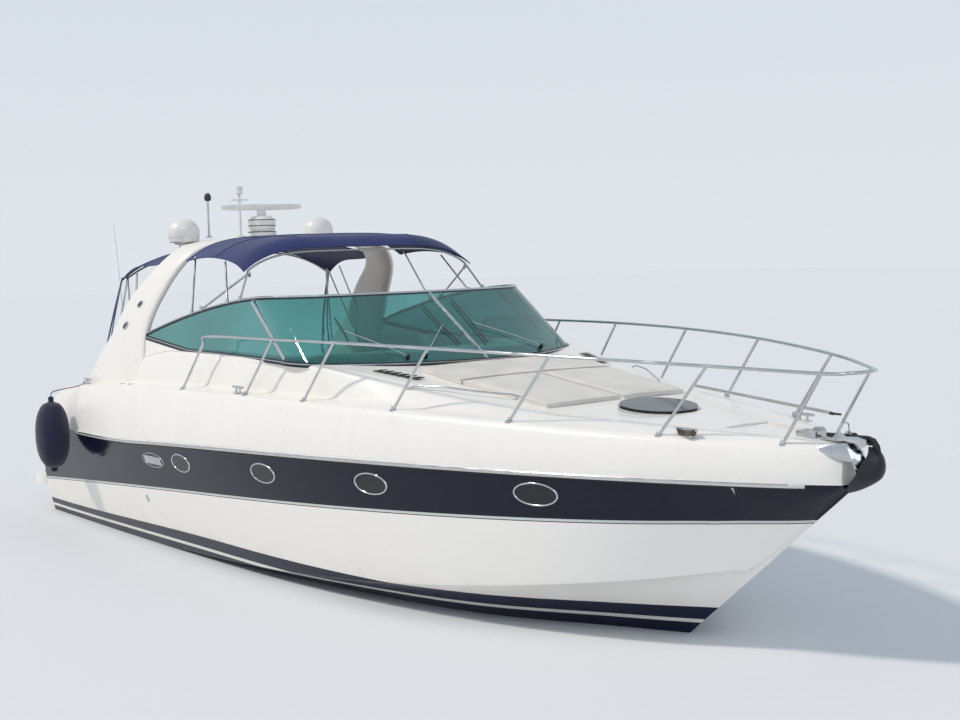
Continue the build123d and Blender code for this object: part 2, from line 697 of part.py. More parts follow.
def blade_face(radius, chord, pitch, thick):
    """Lens section of a blade, at radius out from the shaft, turned to its pitch angle."""
    turn = math.radians(pitch)
    plane = Plane(origin=(0, 0, radius), x_dir=(math.sin(turn), math.cos(turn), 0), z_dir=(0, 0, 1))
    return plane * Face(Wire([
        ThreePointArc((-chord / 2, 0, 0), (0, thick, 0), (chord / 2, 0, 0)),
        ThreePointArc((chord / 2, 0, 0), (0, -thick * 0.3, 0), (-chord / 2, 0, 0)),
    ]))


BLADES = [
    # radius, chord, pitch angle, thickness
    (30, 120, 62, 14),
    (110, 205, 42, 10),
    (190, 215, 31, 7),
    (PROP_RADIUS - 4, 90, 25, 3),
]
blade = loft([blade_face(*row) for row in BLADES])
hub = Rot(0, 90, 0) * Cone(48, 36, 130) + Pos(-78, 0, 0) * Rot(0, 90, 0) * Cylinder(24, 60)
propeller = fuse([hub] + [Rot(turn, 0, 0) * blade for turn in (0, 90, 180, 270)])
running = {}
brackets = []
for name, side in (("port", 1), ("starboard", -1)):
    place = Plane(origin=on_shaft(0, side), x_dir=SHAFT_DIR, z_dir=(-sin_a, 0, cos_a))
    running["propeller_" + name] = place * (propeller - Rot(0, 90, 0) * Cylinder(SHAFT_DIAMETER / 2, 400))
    running["shaft_" + name] = rod(on_shaft(-100, side), on_shaft(1850, side), SHAFT_DIAMETER)
    barrel = rod(on_shaft(130, side), on_shaft(330, side), 84)
    foot = on_shaft(230, side)
    strut = Pos(foot[0] + 20, side * GEAR_Y, -600) * extrude(Ellipse(80, 14), 230, both=True)
    stern_tube = rod(on_shaft(1250, side), on_shaft(2000, side), 90)
    bore = rod(on_shaft(-200, side), on_shaft(1900, side), SHAFT_DIAMETER + 2)
    brackets.append((barrel + strut + stern_tube) - bore - hull)
    hull -= rod(on_shaft(1000, side), on_shaft(1900, side), SHAFT_DIAMETER + 12)
shaft_brackets = Compound(children=[s for b in brackets for s in b.solids()])


def rudder(side):
    top, low = -470, -1010
    y = side * (GEAR_Y + 20)
    upper, lower = [
        Face(Wire([
            ThreePointArc((RUDDER_X + 110, y, z), (RUDDER_X + 10, y + half, z), (RUDDER_X - back, y, z)),
            ThreePointArc((RUDDER_X - back, y, z), (RUDDER_X + 10, y - half, z), (RUDDER_X + 110, y, z)),
        ]))
        for z, half, back in ((top - 40, 24, 300), (low, 18, 210))
    ]
    blade_body = loft([upper, lower])
    return blade_body + rod((RUDDER_X, y, low + 200), (RUDDER_X, y, -300), 44)


for name, side in (("port", 1), ("starboard", -1)):
    running["rudder_" + name] = rudder(side)
    hull -= rod((RUDDER_X, side * (GEAR_Y + 20), -700), (RUDDER_X, side * (GEAR_Y + 20), -280), 50)

TAB = (880.0, 1480.0)
trim_tabs = []
for s in (1, -1):
    hinge = Plane(origin=(-6010, s * (TAB[0] + TAB[1]) / 2, -176), x_dir=(1, 0, 0), z_dir=(0, -s * 0.35, 1))
    tab = hinge * Box(300, TAB[1] - TAB[0], 12, align=(Align.MAX, Align.CENTER, Align.CENTER))
    tab += rod((-5990, s * 1100, 90), (-6200, s * 1100, -205), 22)
    trim_tabs.append(tab - hull)

# Fenders over the starboard quarter, wipers, boathook, vents and handrails
FENDER = (-4550.0, -2185.0, 1160.0)


def fender(x, y, z, radius, length):
    h = length / 2
    profile = Face(Wire([
        Line((0, 0, -h - 70), (28, 0, -h - 70)),
        Line((28, 0, -h - 70), (34, 0, -h)),
        ThreePointArc((34, 0, -h), (radius, 0, 0), (34, 0, h)),
        Line((34, 0, h), (28, 0, h + 70)),
        Line((28, 0, h + 70), (0, 0, h + 70)),
        Line((0, 0, h + 70), (0, 0, -h - 70)),
    ]))
    return Pos(x, y, z) * revolve(profile, Axis.Z)


fender_large = fender(*FENDER, 205, 760)
fender_large += rod((FENDER[0], FENDER[1], FENDER[2] + 440), (FENDER[0] + 120, -1830, 1780), 14)

boathook = rod((3300, 1000, 1960), (5350, 480, 1900), 30)


def export(name, shape):
    solids = shape if isinstance(shape, list) else [shape]
    parts = [s for item in solids for s in item.solids()]
    out = parts[0] if len(parts) == 1 else Compound(children=parts)
    out.label = name
    export_step(out, os.path.join("parts", name + ".step"))


NODES = {
    "hull": hull,
    "deck_moulding": deck,
    "rub_rail": rub_rail,
    "swim_platform": swim_platform,
    "cockpit_sole": cockpit_sole,
    "engine_hatch": engine_hatch,
    **engines,
    "windscreen_frame": screen_frame,
    "windscreen_glass": screen_glass,
    "radar_arch": radar_arch,
    "satellite_dome_starboard": dome(-1),
    "satellite_dome_port": dome(1),
    "radar_pedestal": radar_pedestal,
    "radar_scanner": radar_scanner,
    "light_mast": light_mast,
    "aerial_pole": aerial_pole,
    "canopy_front": canopy_front,
    "canopy_aft": canopy_aft,
    "canopy_frame": canopy_frame,
    "bow_rail": bow_rail,
    **pads,
    "hatch_frame": hatch_frame,
    "foredeck_hatch": foredeck_hatch,
    "anchor_locker_lid": anchor_locker_lid,
    "windlass": windlass,
    "stem_plate": stem_plate,
    "bow_roller": bow_roller,
    "anchor": anchor,
    "mooring_cleats": cleats,
    "port_rims": rims,
    "port_panes": panes,
    "helm_console": helm_console,
    "helm_wheel": helm_wheel,
    "helm_seat": helm_seat,
    "helm_cushion": [helm_cushion, helm_back],
    "cockpit_seat": cockpit_seat,
    "cockpit_cushions": [seat_cushion_aft, seat_cushion_side - seat_cushion_aft],
    "cockpit_table": table,
    "companionway_door": companionway_door,
    "transom_gate": transom_gate,
    "shaft_brackets": shaft_brackets,
    **running,
    "trim_tabs": trim_tabs,
    "fender": fender_large,
    "boathook": boathook,
}

os.makedirs("parts", exist_ok=True)
for node, shape in NODES.items():
    export(node, shape)
    print(node)
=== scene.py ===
# Open motor cruiser: finishes, canvas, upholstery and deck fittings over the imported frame.
# Metres throughout. X runs to the bow, Y to port, Z up from the waterline.
import math

import bmesh
import bpy
from bpy.props import FloatProperty, FloatVectorProperty, PointerProperty
from mathutils import Matrix, Vector, noise


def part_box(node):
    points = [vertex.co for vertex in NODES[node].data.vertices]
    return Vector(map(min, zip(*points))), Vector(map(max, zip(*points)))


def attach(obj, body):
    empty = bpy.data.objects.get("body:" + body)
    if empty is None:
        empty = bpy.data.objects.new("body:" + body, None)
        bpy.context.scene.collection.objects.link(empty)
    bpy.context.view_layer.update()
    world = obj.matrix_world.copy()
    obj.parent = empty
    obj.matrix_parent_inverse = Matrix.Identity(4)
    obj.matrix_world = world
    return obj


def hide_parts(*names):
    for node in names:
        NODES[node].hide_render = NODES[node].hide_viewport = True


bl_info = {
    "name": "Open motor cruiser",
    "version": (1, 0, 0),
    "blender": (4, 5, 0),
    "location": "View3D > Sidebar > Cruiser",
    "description": "Dresses the cruiser's frame with its shells, canvas, glass, rails and fittings",
    "category": "Object",
}

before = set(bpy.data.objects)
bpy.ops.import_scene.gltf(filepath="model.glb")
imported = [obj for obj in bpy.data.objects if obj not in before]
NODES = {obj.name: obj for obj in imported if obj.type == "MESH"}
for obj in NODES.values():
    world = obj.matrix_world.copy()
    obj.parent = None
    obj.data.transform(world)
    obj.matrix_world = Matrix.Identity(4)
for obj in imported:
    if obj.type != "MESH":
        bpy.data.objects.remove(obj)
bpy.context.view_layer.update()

# Hull lines, the same formulas as the construction
STERN, BOW, BEAM = -6.0, 6.0, 4.0
WIDEST_AT, STERN_TAPER, QUARTER = -1.25, 0.122, -2.7
RAIL_END, DECK_INSET, DECK_BOW = 5.93, 0.073, 5.95
STEM_FOOT, STEM_SLOPE, STEM_HALF = 4.21, 0.81, 0.03
DRAFT, FOREFOOT, KEEL_RISE = 0.72, 3.11, 0.08
CHINE_HALF, CHINE_BOW, CHINE_TOP = 1.66, 4.91, 0.69
FADE_FROM, FADE_RUN = 4.5, 0.75
TOPSIDE_BULGE, MOULDING_BULGE, COACHROOF_BULGE = 0.022, 0.026, 0.014
SOLE, COAMING_TOP = 1.02, 2.255
ROOF_AFT, ROOF_FORE = 0.1, 1.95
STATIONS = 170
RUB_AFT, RUB_FORE = -4.43, 5.72
SCREEN_TIP = -2.93
BAND_AT_STERN, BAND_BEND, BOOT_FULL_AT = 0.453, 0.30, -0.8
TRANSOM_CURVE = [(-4.56, 1.76), (-5.42, 1.40), (-5.985, 0.46)]

# Wells cut through the shells
COCKPIT_AFT, COCKPIT_FORE, COCKPIT_HALF, COCKPIT_CORNER = -4.85, 0.3, 1.4, 0.18
PASSAGE, PASSAGE_STEP = (0.70, 1.26), 0.74
COMPANIONWAY, COMPANIONWAY_END = (0.03, 0.64), 1.25
COMPANIONWAY_STEPS = [(0.29, 0.8, 1.9), (0.541, 0.64, 0.81), (0.781, 0.5, 0.65)]
ENGINE_BAY_AFT, ENGINE_BAY_FORE, ENGINE_BAY_HALF, ENGINE_BAY_FLOOR = -4.45, -2.35, 0.95, -0.26
CLEAR_OF_SHELLS = 2.9
HATCH_WELL = (0.326, 0.371)
LOCKER_GAP = 0.006

# Gear on the arch, and the fender
DOME_RADIUS = 0.188
DOME_AT = (-3.31, 0.92, 3.5)
RADAR_AT = (-3.07, 0, 0)
BAR_HALF, BAR_HEIGHT, BAR_TURN = 0.5, 3.851, -10
MAST_AT = (-3.63, 0, 0)
POLE_AT = (-3.45, -0.52, 0)
FENDER_AT = (-4.55, -2.185, 1.16)
FENDER_HALF, FENDER_RADIUS = 0.40, 0.203

# Helm
WHEEL_HUB = (-0.30, -0.72, 1.90)
WHEEL_TILT, WHEEL_RADIUS = 25, 0.185

# A wave texture of this scale has bands one unit apart
WAVE_OF_ONE = 0.314

# Camera fitted to the photograph's frame
CAMERA_AT = (13.2327, -8.7108, 3.279)
CAMERA_YAW, CAMERA_PITCH, CAMERA_ROLL = 143.8, -4.265, -1.665
CAMERA_LENS = 56.3


def linear(code):
    """Linear colour of an sRGB hex value."""
    parts = [int(code[i:i + 2], 16) / 255 for i in (1, 3, 5)]
    return tuple(c / 12.92 if c <= 0.04045 else ((c + 0.055) / 1.055) ** 2.4 for c in parts) + (1.0,)


def scaled(colour, factor):
    """Colour made darker or lighter by a factor."""
    return tuple(min(c * factor, 1.0) for c in colour[:3]) + (1.0,)


def colour_prop(name, code, what):
    return FloatVectorProperty(
        name=name, description=what, subtype="COLOR", size=4, min=0, max=1, default=linear(code)
    )


def length_prop(name, default, what):
    return FloatProperty(name=name, description=what, unit="LENGTH", default=default, min=0.0001, max=20)


class CruiserColours(bpy.types.PropertyGroup):
    """Colours that an owner would choose"""

    gelcoat: colour_prop("Gelcoat", "#efece7", "Warm white of hull and deck")
    band: colour_prop("Topside band", "#0a1024", "Dark navy between the ports")
    boot: colour_prop("Boot stripe", "#0c1430", "Navy at the waterline")
    canvas: colour_prop("Canvas", "#1d2a62", "Acrylic canvas of the canopies")
    glass: colour_prop("Glass", "#5fa9a4", "Teal tint of the windscreen")
    sunpad: colour_prop("Sunpad", "#e0dcd5", "Beige grey foredeck vinyl")
    upholstery: colour_prop("Upholstery", "#e6e0d3", "Cream cockpit vinyl")
    teak: colour_prop("Teak", "#a87b4f", "Oiled teak of the cockpit sole")
    fender: colour_prop("Fender cover", "#17193a", "Navy knitted cover")


class CruiserSizes(bpy.types.PropertyGroup):
    """Sizes that a builder would change"""

    rail_tube: length_prop("Rail tube", 0.028, "Outer diameter of the bow rail")
    canopy_tube: length_prop("Canopy tube", 0.025, "Outer diameter of the canopy bows")
    plank: length_prop("Teak plank", 0.048, "Width of one plank with its caulking")
    boot_stern: length_prop("Boot stripe aft", 0.17, "Height of the boot stripe at the transom")
    boot_bow: length_prop("Boot stripe forward", 0.275, "Height of the boot stripe forward")
    boot_line: length_prop("Boot line", 0.036, "Width of the white line in the boot stripe")
    pinstripe: length_prop("Pinstripe", 0.022, "Width of the light line under the band")
    weave: length_prop("Canvas weave", 0.004, "Thread pitch of the canvas, drawn coarse")
    grain: length_prop("Vinyl grain", 0.005, "Size of the vinyl's pebbles, drawn coarse")


# Shape functions of the hull
def fullness(x, start, end, power, blunt):
    if x <= start:
        return 1.0
    return (1.0 - min((x - start) / (end - start), 1.0) ** power) ** blunt


def stern_pull(x):
    return STERN_TAPER * (max(WIDEST_AT - x, 0.0) / (WIDEST_AT - STERN)) ** 2


def along(x):
    return (x - STERN) / (BOW - STERN)


def rail_half(x):
    return BEAM / 2 * fullness(x, WIDEST_AT, BOW, 2.34, 0.844) - stern_pull(x)


def rail_height(x):
    t = along(x)
    return 0.977 + 0.473 * t + 0.614 * t * (1 - t) + 0.084 * (max(QUARTER - x, 0.0) / 1.7) ** 1.5


def deck_half(x):
    half = (BEAM / 2 - DECK_INSET) * fullness(x, WIDEST_AT, DECK_BOW, 2.34, 0.844) - stern_pull(x)
    return max(half, STEM_HALF)


def deck_height(x):
    t = along(x)
    return 1.639 + 0.066 * t + 0.904 * t * (1 - t)


def keel_height(x):
    if x >= STEM_FOOT:
        return STEM_SLOPE * (x - STEM_FOOT)
    u = min((STEM_FOOT - x) / FOREFOOT, 1.0)
    rise = KEEL_RISE * max(STEM_FOOT - FOREFOOT - x, 0.0) / (STEM_FOOT - FOREFOOT - STERN)
    return rise - DRAFT * (1 - (1 - u) ** 3.5)


def chine_half(x):
    if x < FADE_FROM:
        return CHINE_HALF * fullness(x, WIDEST_AT, CHINE_BOW, 2.6, 0.6)
    s = min((x - FADE_FROM) / FADE_RUN, 1.0)
    start = CHINE_HALF * fullness(FADE_FROM, WIDEST_AT, CHINE_BOW, 2.6, 0.6)
    slope = (start - CHINE_HALF * fullness(FADE_FROM - 0.01, WIDEST_AT, CHINE_BOW, 2.6, 0.6)) / 0.01
    return (
        (2 * s ** 3 - 3 * s ** 2 + 1) * start
        + (3 * s ** 2 - 2 * s ** 3) * STEM_HALF
        + (s ** 3 - 2 * s ** 2 + s) * slope * FADE_RUN
    )


def chine_height(x):
    s = min((x - STERN) / (CHINE_BOW - STERN), 1.0)
    return max(CHINE_TOP * s ** 2.6 - 0.02, keel_height(x) + STEM_HALF)


def crown_height(x):
    c = min(max((x - 1.5) / (DECK_BOW - 1.5), 0.0), 1.0)
    return 1.72 + 0.46 * (1 - c) ** 1.4


def roof_edge(x):
    """Half-breadth and height of the coaming top, which becomes the coachroof's shoulder forward."""
    half = deck_half(x) * (0.862 - 0.387 * max(x - 1.0, 0.0) / 4.93)
    if x < -2.2:
        height = COAMING_TOP - 0.48 * ((-2.2 - x) / 2.4) ** 1.3
    elif x < ROOF_AFT:
        height = COAMING_TOP
    elif x < ROOF_FORE:
        s, run = (x - ROOF_AFT) / (ROOF_FORE - ROOF_AFT), ROOF_FORE - ROOF_AFT
        low = crown_height(ROOF_FORE) - 0.03
        slope = (crown_height(ROOF_FORE + 0.05) - crown_height(ROOF_FORE - 0.05)) / 0.1
        height = (2 * s ** 3 - 3 * s ** 2 + 1) * COAMING_TOP + (3 * s ** 2 - 2 * s ** 3) * low
        height += (s ** 3 - s ** 2) * slope * run
    else:
        height = crown_height(x) - 0.03
    return half, max(height, deck_height(x) + 0.04)


def deck_surface(x, y):
    """Height of the deck moulding inside its shoulder at a point of the foredeck."""
    half, height = roof_edge(x)
    crown = max(crown_height(x), height + 0.012)
    return crown - (crown - height) * min(abs(y) / half, 1.0) ** 2


def side_half(x, z):
    """Half-breadth of the topside at a height between chine and rail."""
    low, high = chine_height(x), rail_height(x)
    s = (z - low) / (high - low)
    return chine_half(x) + s * (rail_half(x) - chine_half(x)) + 4 * TOPSIDE_BULGE * s * (1 - s)


def bent(a, b, depth):
    """Point on the shallow arc from a to b, bowed outboard by depth, as a function of 0 to 1."""
    (ya, za), (yb, zb) = a, b
    length = max(math.hypot(yb - ya, zb - za), 1e-6)
    depth = min(depth, 0.12 * length)
    oy, oz = depth * (zb - za) / length, -depth * (yb - ya) / length

    def at(t):
        k = 4 * t * (1 - t)
        return ya + (yb - ya) * t + k * oy, za + (zb - za) * t + k * oz

    return at, length


def eased_chain(corners, bends, radii, steps=9, turn=5):
    """Half section through corners, with bowed sides and each inner corner eased by its radius."""
    spans = [bent(a, b, d) for a, b, d in zip(corners, corners[1:], bends)]
    out = []
    for i, (at, length) in enumerate(spans):
        start = min(radii[i] / length, 0.42)
        end = 1 - min(radii[i + 1] / length, 0.42)
        out += [at(start + (end - start) * k / steps) for k in range(steps + 1)]
        if i + 1 < len(spans):
            nxt, nxt_length = spans[i + 1]
            a, c = at(end), nxt(min(radii[i + 1] / nxt_length, 0.42))
            m = corners[i + 1]
            for k in range(1, turn):
                t = k / turn
                out.append(tuple(
                    (1 - t) ** 2 * a[j] + 2 * t * (1 - t) * m[j] + t * t * c[j] for j in (0, 1)
                ))
    return out


def hull_half(x):
    corners = [(0.0, keel_height(x)), (chine_half(x), chine_height(x)), (rail_half(x), rail_height(x))]
    hollow = 0.008 + 0.1 * math.exp(-(((x - 3.7) / 0.9) ** 2))
    return eased_chain(corners, [-hollow, TOPSIDE_BULGE], [0, 0.012, 0], steps=12)


def deck_half_section(x):
    rail, deck = (rail_half(x), rail_height(x)), (deck_half(x), deck_height(x))
    side, top = (deck[0] * 0.89, deck[1] + 0.018), roof_edge(x)
    crown = max(crown_height(x), top[1] + 0.012)
    chain = eased_chain([rail, deck, side, top, (0.0, crown)],
                        [MOULDING_BULGE, 0, COACHROOF_BULGE, 0], [0, 0.05, 0.05, 0.045, 0], steps=8)
    return chain


# Small mesh tools
def new_object(name, mesh, material=None):
    obj = bpy.data.objects.new(name, mesh)
    bpy.context.scene.collection.objects.link(obj)
    if material is not None:
        mesh.materials.append(material)
    return obj


def mesh_object(name, points, faces, material=None, crease=None):
    """Mesh from points and faces, smooth but for edges sharper than crease degrees."""
    mesh = bpy.data.meshes.new(name)
    mesh.from_pydata([tuple(p) for p in points], [], faces)
    mesh.validate()
    bm = bmesh.new()
    bm.from_mesh(mesh)
    bmesh.ops.recalc_face_normals(bm, faces=bm.faces)
    bm.to_mesh(mesh)
    bm.free()
    obj = new_object(name, mesh, material)
    smooth(mesh, crease)
    return obj


def smooth(mesh, crease=None):
    mesh.shade_smooth()
    if crease is not None:
        mesh.set_sharp_from_angle(angle=math.radians(crease))


def grid_faces(rows, columns, wrap=False):
    """Four-sided faces over rows of points. Wrapped rows close from their last point to their first."""
    faces = []
    for i in range(rows - 1):
        for j in range(columns if wrap else columns - 1):
            here, above, after = i * columns, (i + 1) * columns, (j + 1) % columns
            faces.append((here + j, here + after, above + after, above + j))
    return faces


def skin(name, rings, material=None, closed=True, caps=True, crease=None):
    """Surface through rings of points. Closed rings make a solid with flat ends."""
    count = len(rings[0])
    points = [p for ring in rings for p in ring]
    faces = grid_faces(len(rings), count, wrap=closed)
    if closed and caps:
        faces += [tuple(range(count))[::-1], tuple(range(len(points) - count, len(points)))]
    return mesh_object(name, points, faces, material, crease)


def merge(name, objects):
    """Joins objects into one piece under the first one's material slots."""
    bm = bmesh.new()
    materials = []
    for obj in objects:
        start = len(bm.faces)
        slots = []
        for mat in obj.data.materials:
            if mat not in materials:
                materials.append(mat)
            slots.append(materials.index(mat))
        copy = obj.data.copy()
        copy.transform(obj.matrix_world)
        bm.from_mesh(copy)
        bm.faces.ensure_lookup_table()
        for face in bm.faces[start:]:
            face.material_index = slots[face.material_index] if slots else 0
    mesh = bpy.data.meshes.new(name)
    bm.to_mesh(mesh)
    bm.free()
    for mat in materials:
        mesh.materials.append(mat)
    for obj in objects:
        bpy.data.objects.remove(obj)
    return new_object(name, mesh)


def smooth_path(points, steps):
    """Catmull-Rom points through the given ones."""
    pts = [Vector(p) for p in points]
    pts = [pts[0] * 2 - pts[1]] + pts + [pts[-1] * 2 - pts[-2]]
    out = []
    for a, b, c, d in zip(pts, pts[1:], pts[2:], pts[3:]):
        for k in range(steps):
            t = k / steps
            out.append(0.5 * (2 * b + (c - a) * t + (2 * a - 5 * b + 4 * c - d) * t * t
                              + (3 * b - a - 3 * c + d) * t ** 3))
    out.append(pts[-2])
    return out


def tubes(name, paths, diameter, material, body="boat", closed=False, slot=None):
    """Round tubes along paths, all in one piece."""
    curve = bpy.data.curves.new(name, "CURVE")
    curve.dimensions = "3D"
    curve.bevel_depth = diameter / 2
    curve.bevel_resolution = 4
    curve.use_fill_caps = True
    for path in paths:
        spline = curve.splines.new("POLY")
        spline.points.add(len(path) - 1)
        for point, p in zip(spline.points, path):
            point.co = (*p, 1)
        spline.use_cyclic_u = closed
        spline.use_smooth = True
    curve.materials.append(material)
    rough = bpy.data.objects.new(name, curve)
    bpy.context.scene.collection.objects.link(rough)
    bpy.context.view_layer.update()
    mesh = bpy.data.meshes.new_from_object(rough.evaluated_get(bpy.context.evaluated_depsgraph_get()))
    bpy.data.objects.remove(rough)
    smooth(mesh, 40)
    mesh.name = name
    obj = new_object(name, mesh)
    return settle(obj, body, slot)


def settle(obj, body="boat", slot=None, *stands_for):
    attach(obj, body)
    if stands_for:
        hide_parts(*stands_for)
    return obj


def box_points(low, high):
    (x0, y0, z0), (x1, y1, z1) = low, high
    return [(x, y, z) for z in (z0, z1) for x, y in ((x0, y0), (x1, y0), (x1, y1), (x0, y1))]


BOX_FACES = [(3, 2, 1, 0), (4, 5, 6, 7), (0, 1, 5, 4), (1, 2, 6, 5), (2, 3, 7, 6), (3, 0, 4, 7)]


def soft_box(name, low, high, material, radius, segments=3):
    """Block with rounded edges."""
    obj = mesh_object(name, box_points(low, high), BOX_FACES, material)
    bevel(obj, radius, segments)
    return obj


def bevel(obj, radius, segments=3, angle=40):
    mod = obj.modifiers.new("edge", "BEVEL")
    mod.width = radius
    mod.segments = segments
    mod.limit_method = "ANGLE"
    mod.angle_limit = math.radians(angle)
    apply_modifiers(obj)
    smooth(obj.data, 35)


def apply_modifiers(obj):
    bpy.context.view_layer.update()
    mesh = bpy.data.meshes.new_from_object(obj.evaluated_get(bpy.context.evaluated_depsgraph_get()))
    obj.modifiers.clear()
    obj.data = mesh


def carve(obj, cutters):
    for cutter in cutters:
        mod = obj.modifiers.new("cut", "BOOLEAN")
        mod.operation, mod.object, mod.solver = "DIFFERENCE", cutter, "EXACT"
    apply_modifiers(obj)
    for cutter in cutters:
        bpy.data.objects.remove(cutter)


def turned(name, profile, at, material, axis=(0, 0, 1), steps=40, crease=35):
    """Lathe-turned solid: profile rows are radius and height along the axis from at."""
    turn = Vector((0, 0, 1)).rotation_difference(Vector(axis)).to_matrix()
    rings = []
    for radius, height in profile:
        ring = []
        for k in range(steps):
            a = 2 * math.pi * k / steps
            p = turn @ Vector((radius * math.cos(a), radius * math.sin(a), height))
            ring.append(p + Vector(at))
        rings.append(ring)
    return skin(name, rings, material, crease=crease)


def plate(name, outline, thickness, matrix, material, crease=35):
    """Flat plate: outline in its own plane, thickness along the plane's normal."""
    rings = [[matrix @ Vector((x, y, z)) for x, y in outline] for z in (0, thickness)]
    return skin(name, rings, material, crease=crease)


def ellipse(a, b, steps=48):
    turns = [2 * math.pi * k / steps for k in range(steps)]
    return [(a * math.cos(t), b * math.sin(t)) for t in turns]


def plane_on_side(x, z, side):
    """Matrix of a plane on the topside: its X runs forward, its Y up and its Z outboard."""
    step = 0.02
    here = Vector((x, side * side_half(x, z), z))
    fore = (Vector((x + step, side * side_half(x + step, z), z)) - here).normalized()
    up = (Vector((x, side * side_half(x, z + step), z + step)) - here).normalized()
    out = fore.cross(up) if side < 0 else up.cross(fore)
    out.normalize()
    up = out.cross(fore) if side < 0 else fore.cross(out)
    rows = Matrix((fore, up, out)).transposed().to_4x4()
    rows.translation = here
    return rows


# Materials
def node(tree, kind, inputs=None, **settings):
    """Adds a shader node with its settings, values and links."""
    made = tree.nodes.new("ShaderNode" + kind)
    for key, value in settings.items():
        setattr(made, key, value)
    for key, value in (inputs or {}).items():
        if isinstance(value, bpy.types.NodeSocket):
            tree.links.new(value, made.inputs[key])
        else:
            made.inputs[key].default_value = value
    return made


def principled(name, colour, roughness, metallic=0.0, **sockets):
    """Material with its tree, shader and object coordinates."""
    mat = bpy.data.materials.new(name)
    mat.use_nodes = True
    tree = mat.node_tree
    shader = tree.nodes["Principled BSDF"]
    shader.inputs["Base Color"].default_value = colour
    shader.inputs["Roughness"].default_value = roughness
    shader.inputs["Metallic"].default_value = metallic
    for key, value in sockets.items():
        shader.inputs[key.replace("_", " ")].default_value = value
    mat.diffuse_color = colour
    place = node(tree, "TexCoord").outputs["Object"]
    return mat, tree, shader, place


def maths(tree, operation, a, b=0.0):
    return node(tree, "Math", {0: a, 1: b}, operation=operation).outputs[0]


def blend_colour(tree, share, a, b):
    return node(tree, "Mix", {0: share, 6: a, 7: b}, data_type="RGBA").outputs[2]


def speckle(tree, place, size, detail=3.0, low=0.4, high=0.6):
    """Noise of a real feature size in metres, as a share from 0 to 1."""
    fac = node(tree, "TexNoise", {"Vector": place, "Scale": 1 / size, "Detail": detail}).outputs["Fac"]
    return node(tree, "MapRange", {0: fac, 1: low, 2: high, 3: 0.0, 4: 1.0}).outputs[0]


def dent(tree, shader, height, depth, strength=1.0, chain=None):
    """Bump from a height between 0 and 1, depth in metres."""
    inputs = {"Height": height, "Distance": depth, "Strength": strength}
    if chain is not None:
        inputs["Normal"] = chain
    made = node(tree, "Bump", inputs)
    tree.links.new(made.outputs["Normal"], shader.inputs["Normal"])
    return made.outputs["Normal"]


def vary(tree, shader, share, low, high):
    """Roughness that runs between low and high."""
    made = node(tree, "MapRange", {0: share, 1: 0.0, 2: 1.0, 3: low, 4: high})
    tree.links.new(made.outputs[0], shader.inputs["Roughness"])


def moulded(name, colour, roughness, worn, feature, depth, tint=0.08, metallic=0.0, **sockets):
    """Finish with a mottled tone, patchy gloss and a fine surface of the feature's size in metres."""
    mat, tree, shader, place = principled(name, colour, roughness, metallic, **sockets)
    patch = speckle(tree, place, feature * 40)
    base = blend_colour(tree, patch, scaled(colour, 1 - tint), colour)
    tree.links.new(base, shader.inputs["Base Color"])
    vary(tree, shader, patch, worn, roughness)
    dent(tree, shader, speckle(tree, place, feature, 2.0, 0.3, 0.7), depth)
    return mat


def hull_gelcoat(colours, sizes):
    """Polished polyester gelcoat from a mould: hard gloss, soft waviness, bands painted over it."""
    mat, tree, shader, place = principled("polished_hull_gelcoat", colours.gelcoat, 0.14)
    axis = node(tree, "SeparateXYZ", {0: place})
    x, z = axis.outputs[0], axis.outputs[2]
    t = maths(tree, "DIVIDE", maths(tree, "ADD", x, -STERN), BOW - STERN)
    # The lower edge of the band rises forward in a slow curve
    rise = maths(tree, "ADD", t, BAND_AT_STERN)
    edge = maths(tree, "SUBTRACT", rise, maths(tree, "MULTIPLY", maths(tree, "MULTIPLY", t, t), BAND_BEND))
    above = maths(tree, "SUBTRACT", z, edge)
    band = maths(tree, "GREATER_THAN", above, 0.0)
    line = maths(tree, "COMPARE", above, -sizes.pinstripe / 2)
    line.node.inputs[2].default_value = sizes.pinstripe / 2
    shadow = maths(tree, "COMPARE", above, -sizes.pinstripe - 0.004)
    shadow.node.inputs[2].default_value = 0.004
    # The boot stripe thickens over the after five metres
    share = node(tree, "MapRange", {0: x, 1: STERN, 2: BOOT_FULL_AT, 3: sizes.boot_stern, 4: sizes.boot_bow},
                 interpolation_type="SMOOTHSTEP").outputs[0]
    boot = maths(tree, "LESS_THAN", z, share)
    white = maths(tree, "COMPARE", z, maths(tree, "MULTIPLY", share, 0.47))
    white.node.inputs[2].default_value = sizes.boot_line / 2
    film = speckle(tree, place, 0.35, 4.0, 0.35, 0.7)
    waterline = node(tree, "MapRange", {0: z, 1: 0.55, 2: 0.0, 3: 0.0, 4: 0.5}).outputs[0]
    dulled = maths(tree, "MULTIPLY", film, waterline)
    base = blend_colour(tree, dulled, colours.gelcoat, linear("#cfc9ba"))
    base = blend_colour(tree, line, base, linear("#c9d0cc"))
    base = blend_colour(tree, shadow, base, linear("#3c4450"))
    base = blend_colour(tree, band, base, colours.band)
    base = blend_colour(tree, boot, base, colours.boot)
    base = blend_colour(tree, maths(tree, "MULTIPLY", white, boot), base, linear("#e4e2da"))
    below = maths(tree, "LESS_THAN", z, 0.004)
    base = blend_colour(tree, below, base, linear("#1a1d24"))
    tree.links.new(base, shader.inputs["Base Color"])
    vary(tree, shader, maths(tree, "MAXIMUM", dulled, below), 0.12, 0.5)
    # The whole side reflects a little less than the default, so that the band stays dark in a pale room
    shader.inputs["Specular IOR Level"].default_value = 0.3
    wave = dent(tree, shader, speckle(tree, place, 0.6, 1.0, 0.2, 0.8), 0.0016)
    dent(tree, shader, line, 0.003, 0.6, wave)
    return mat


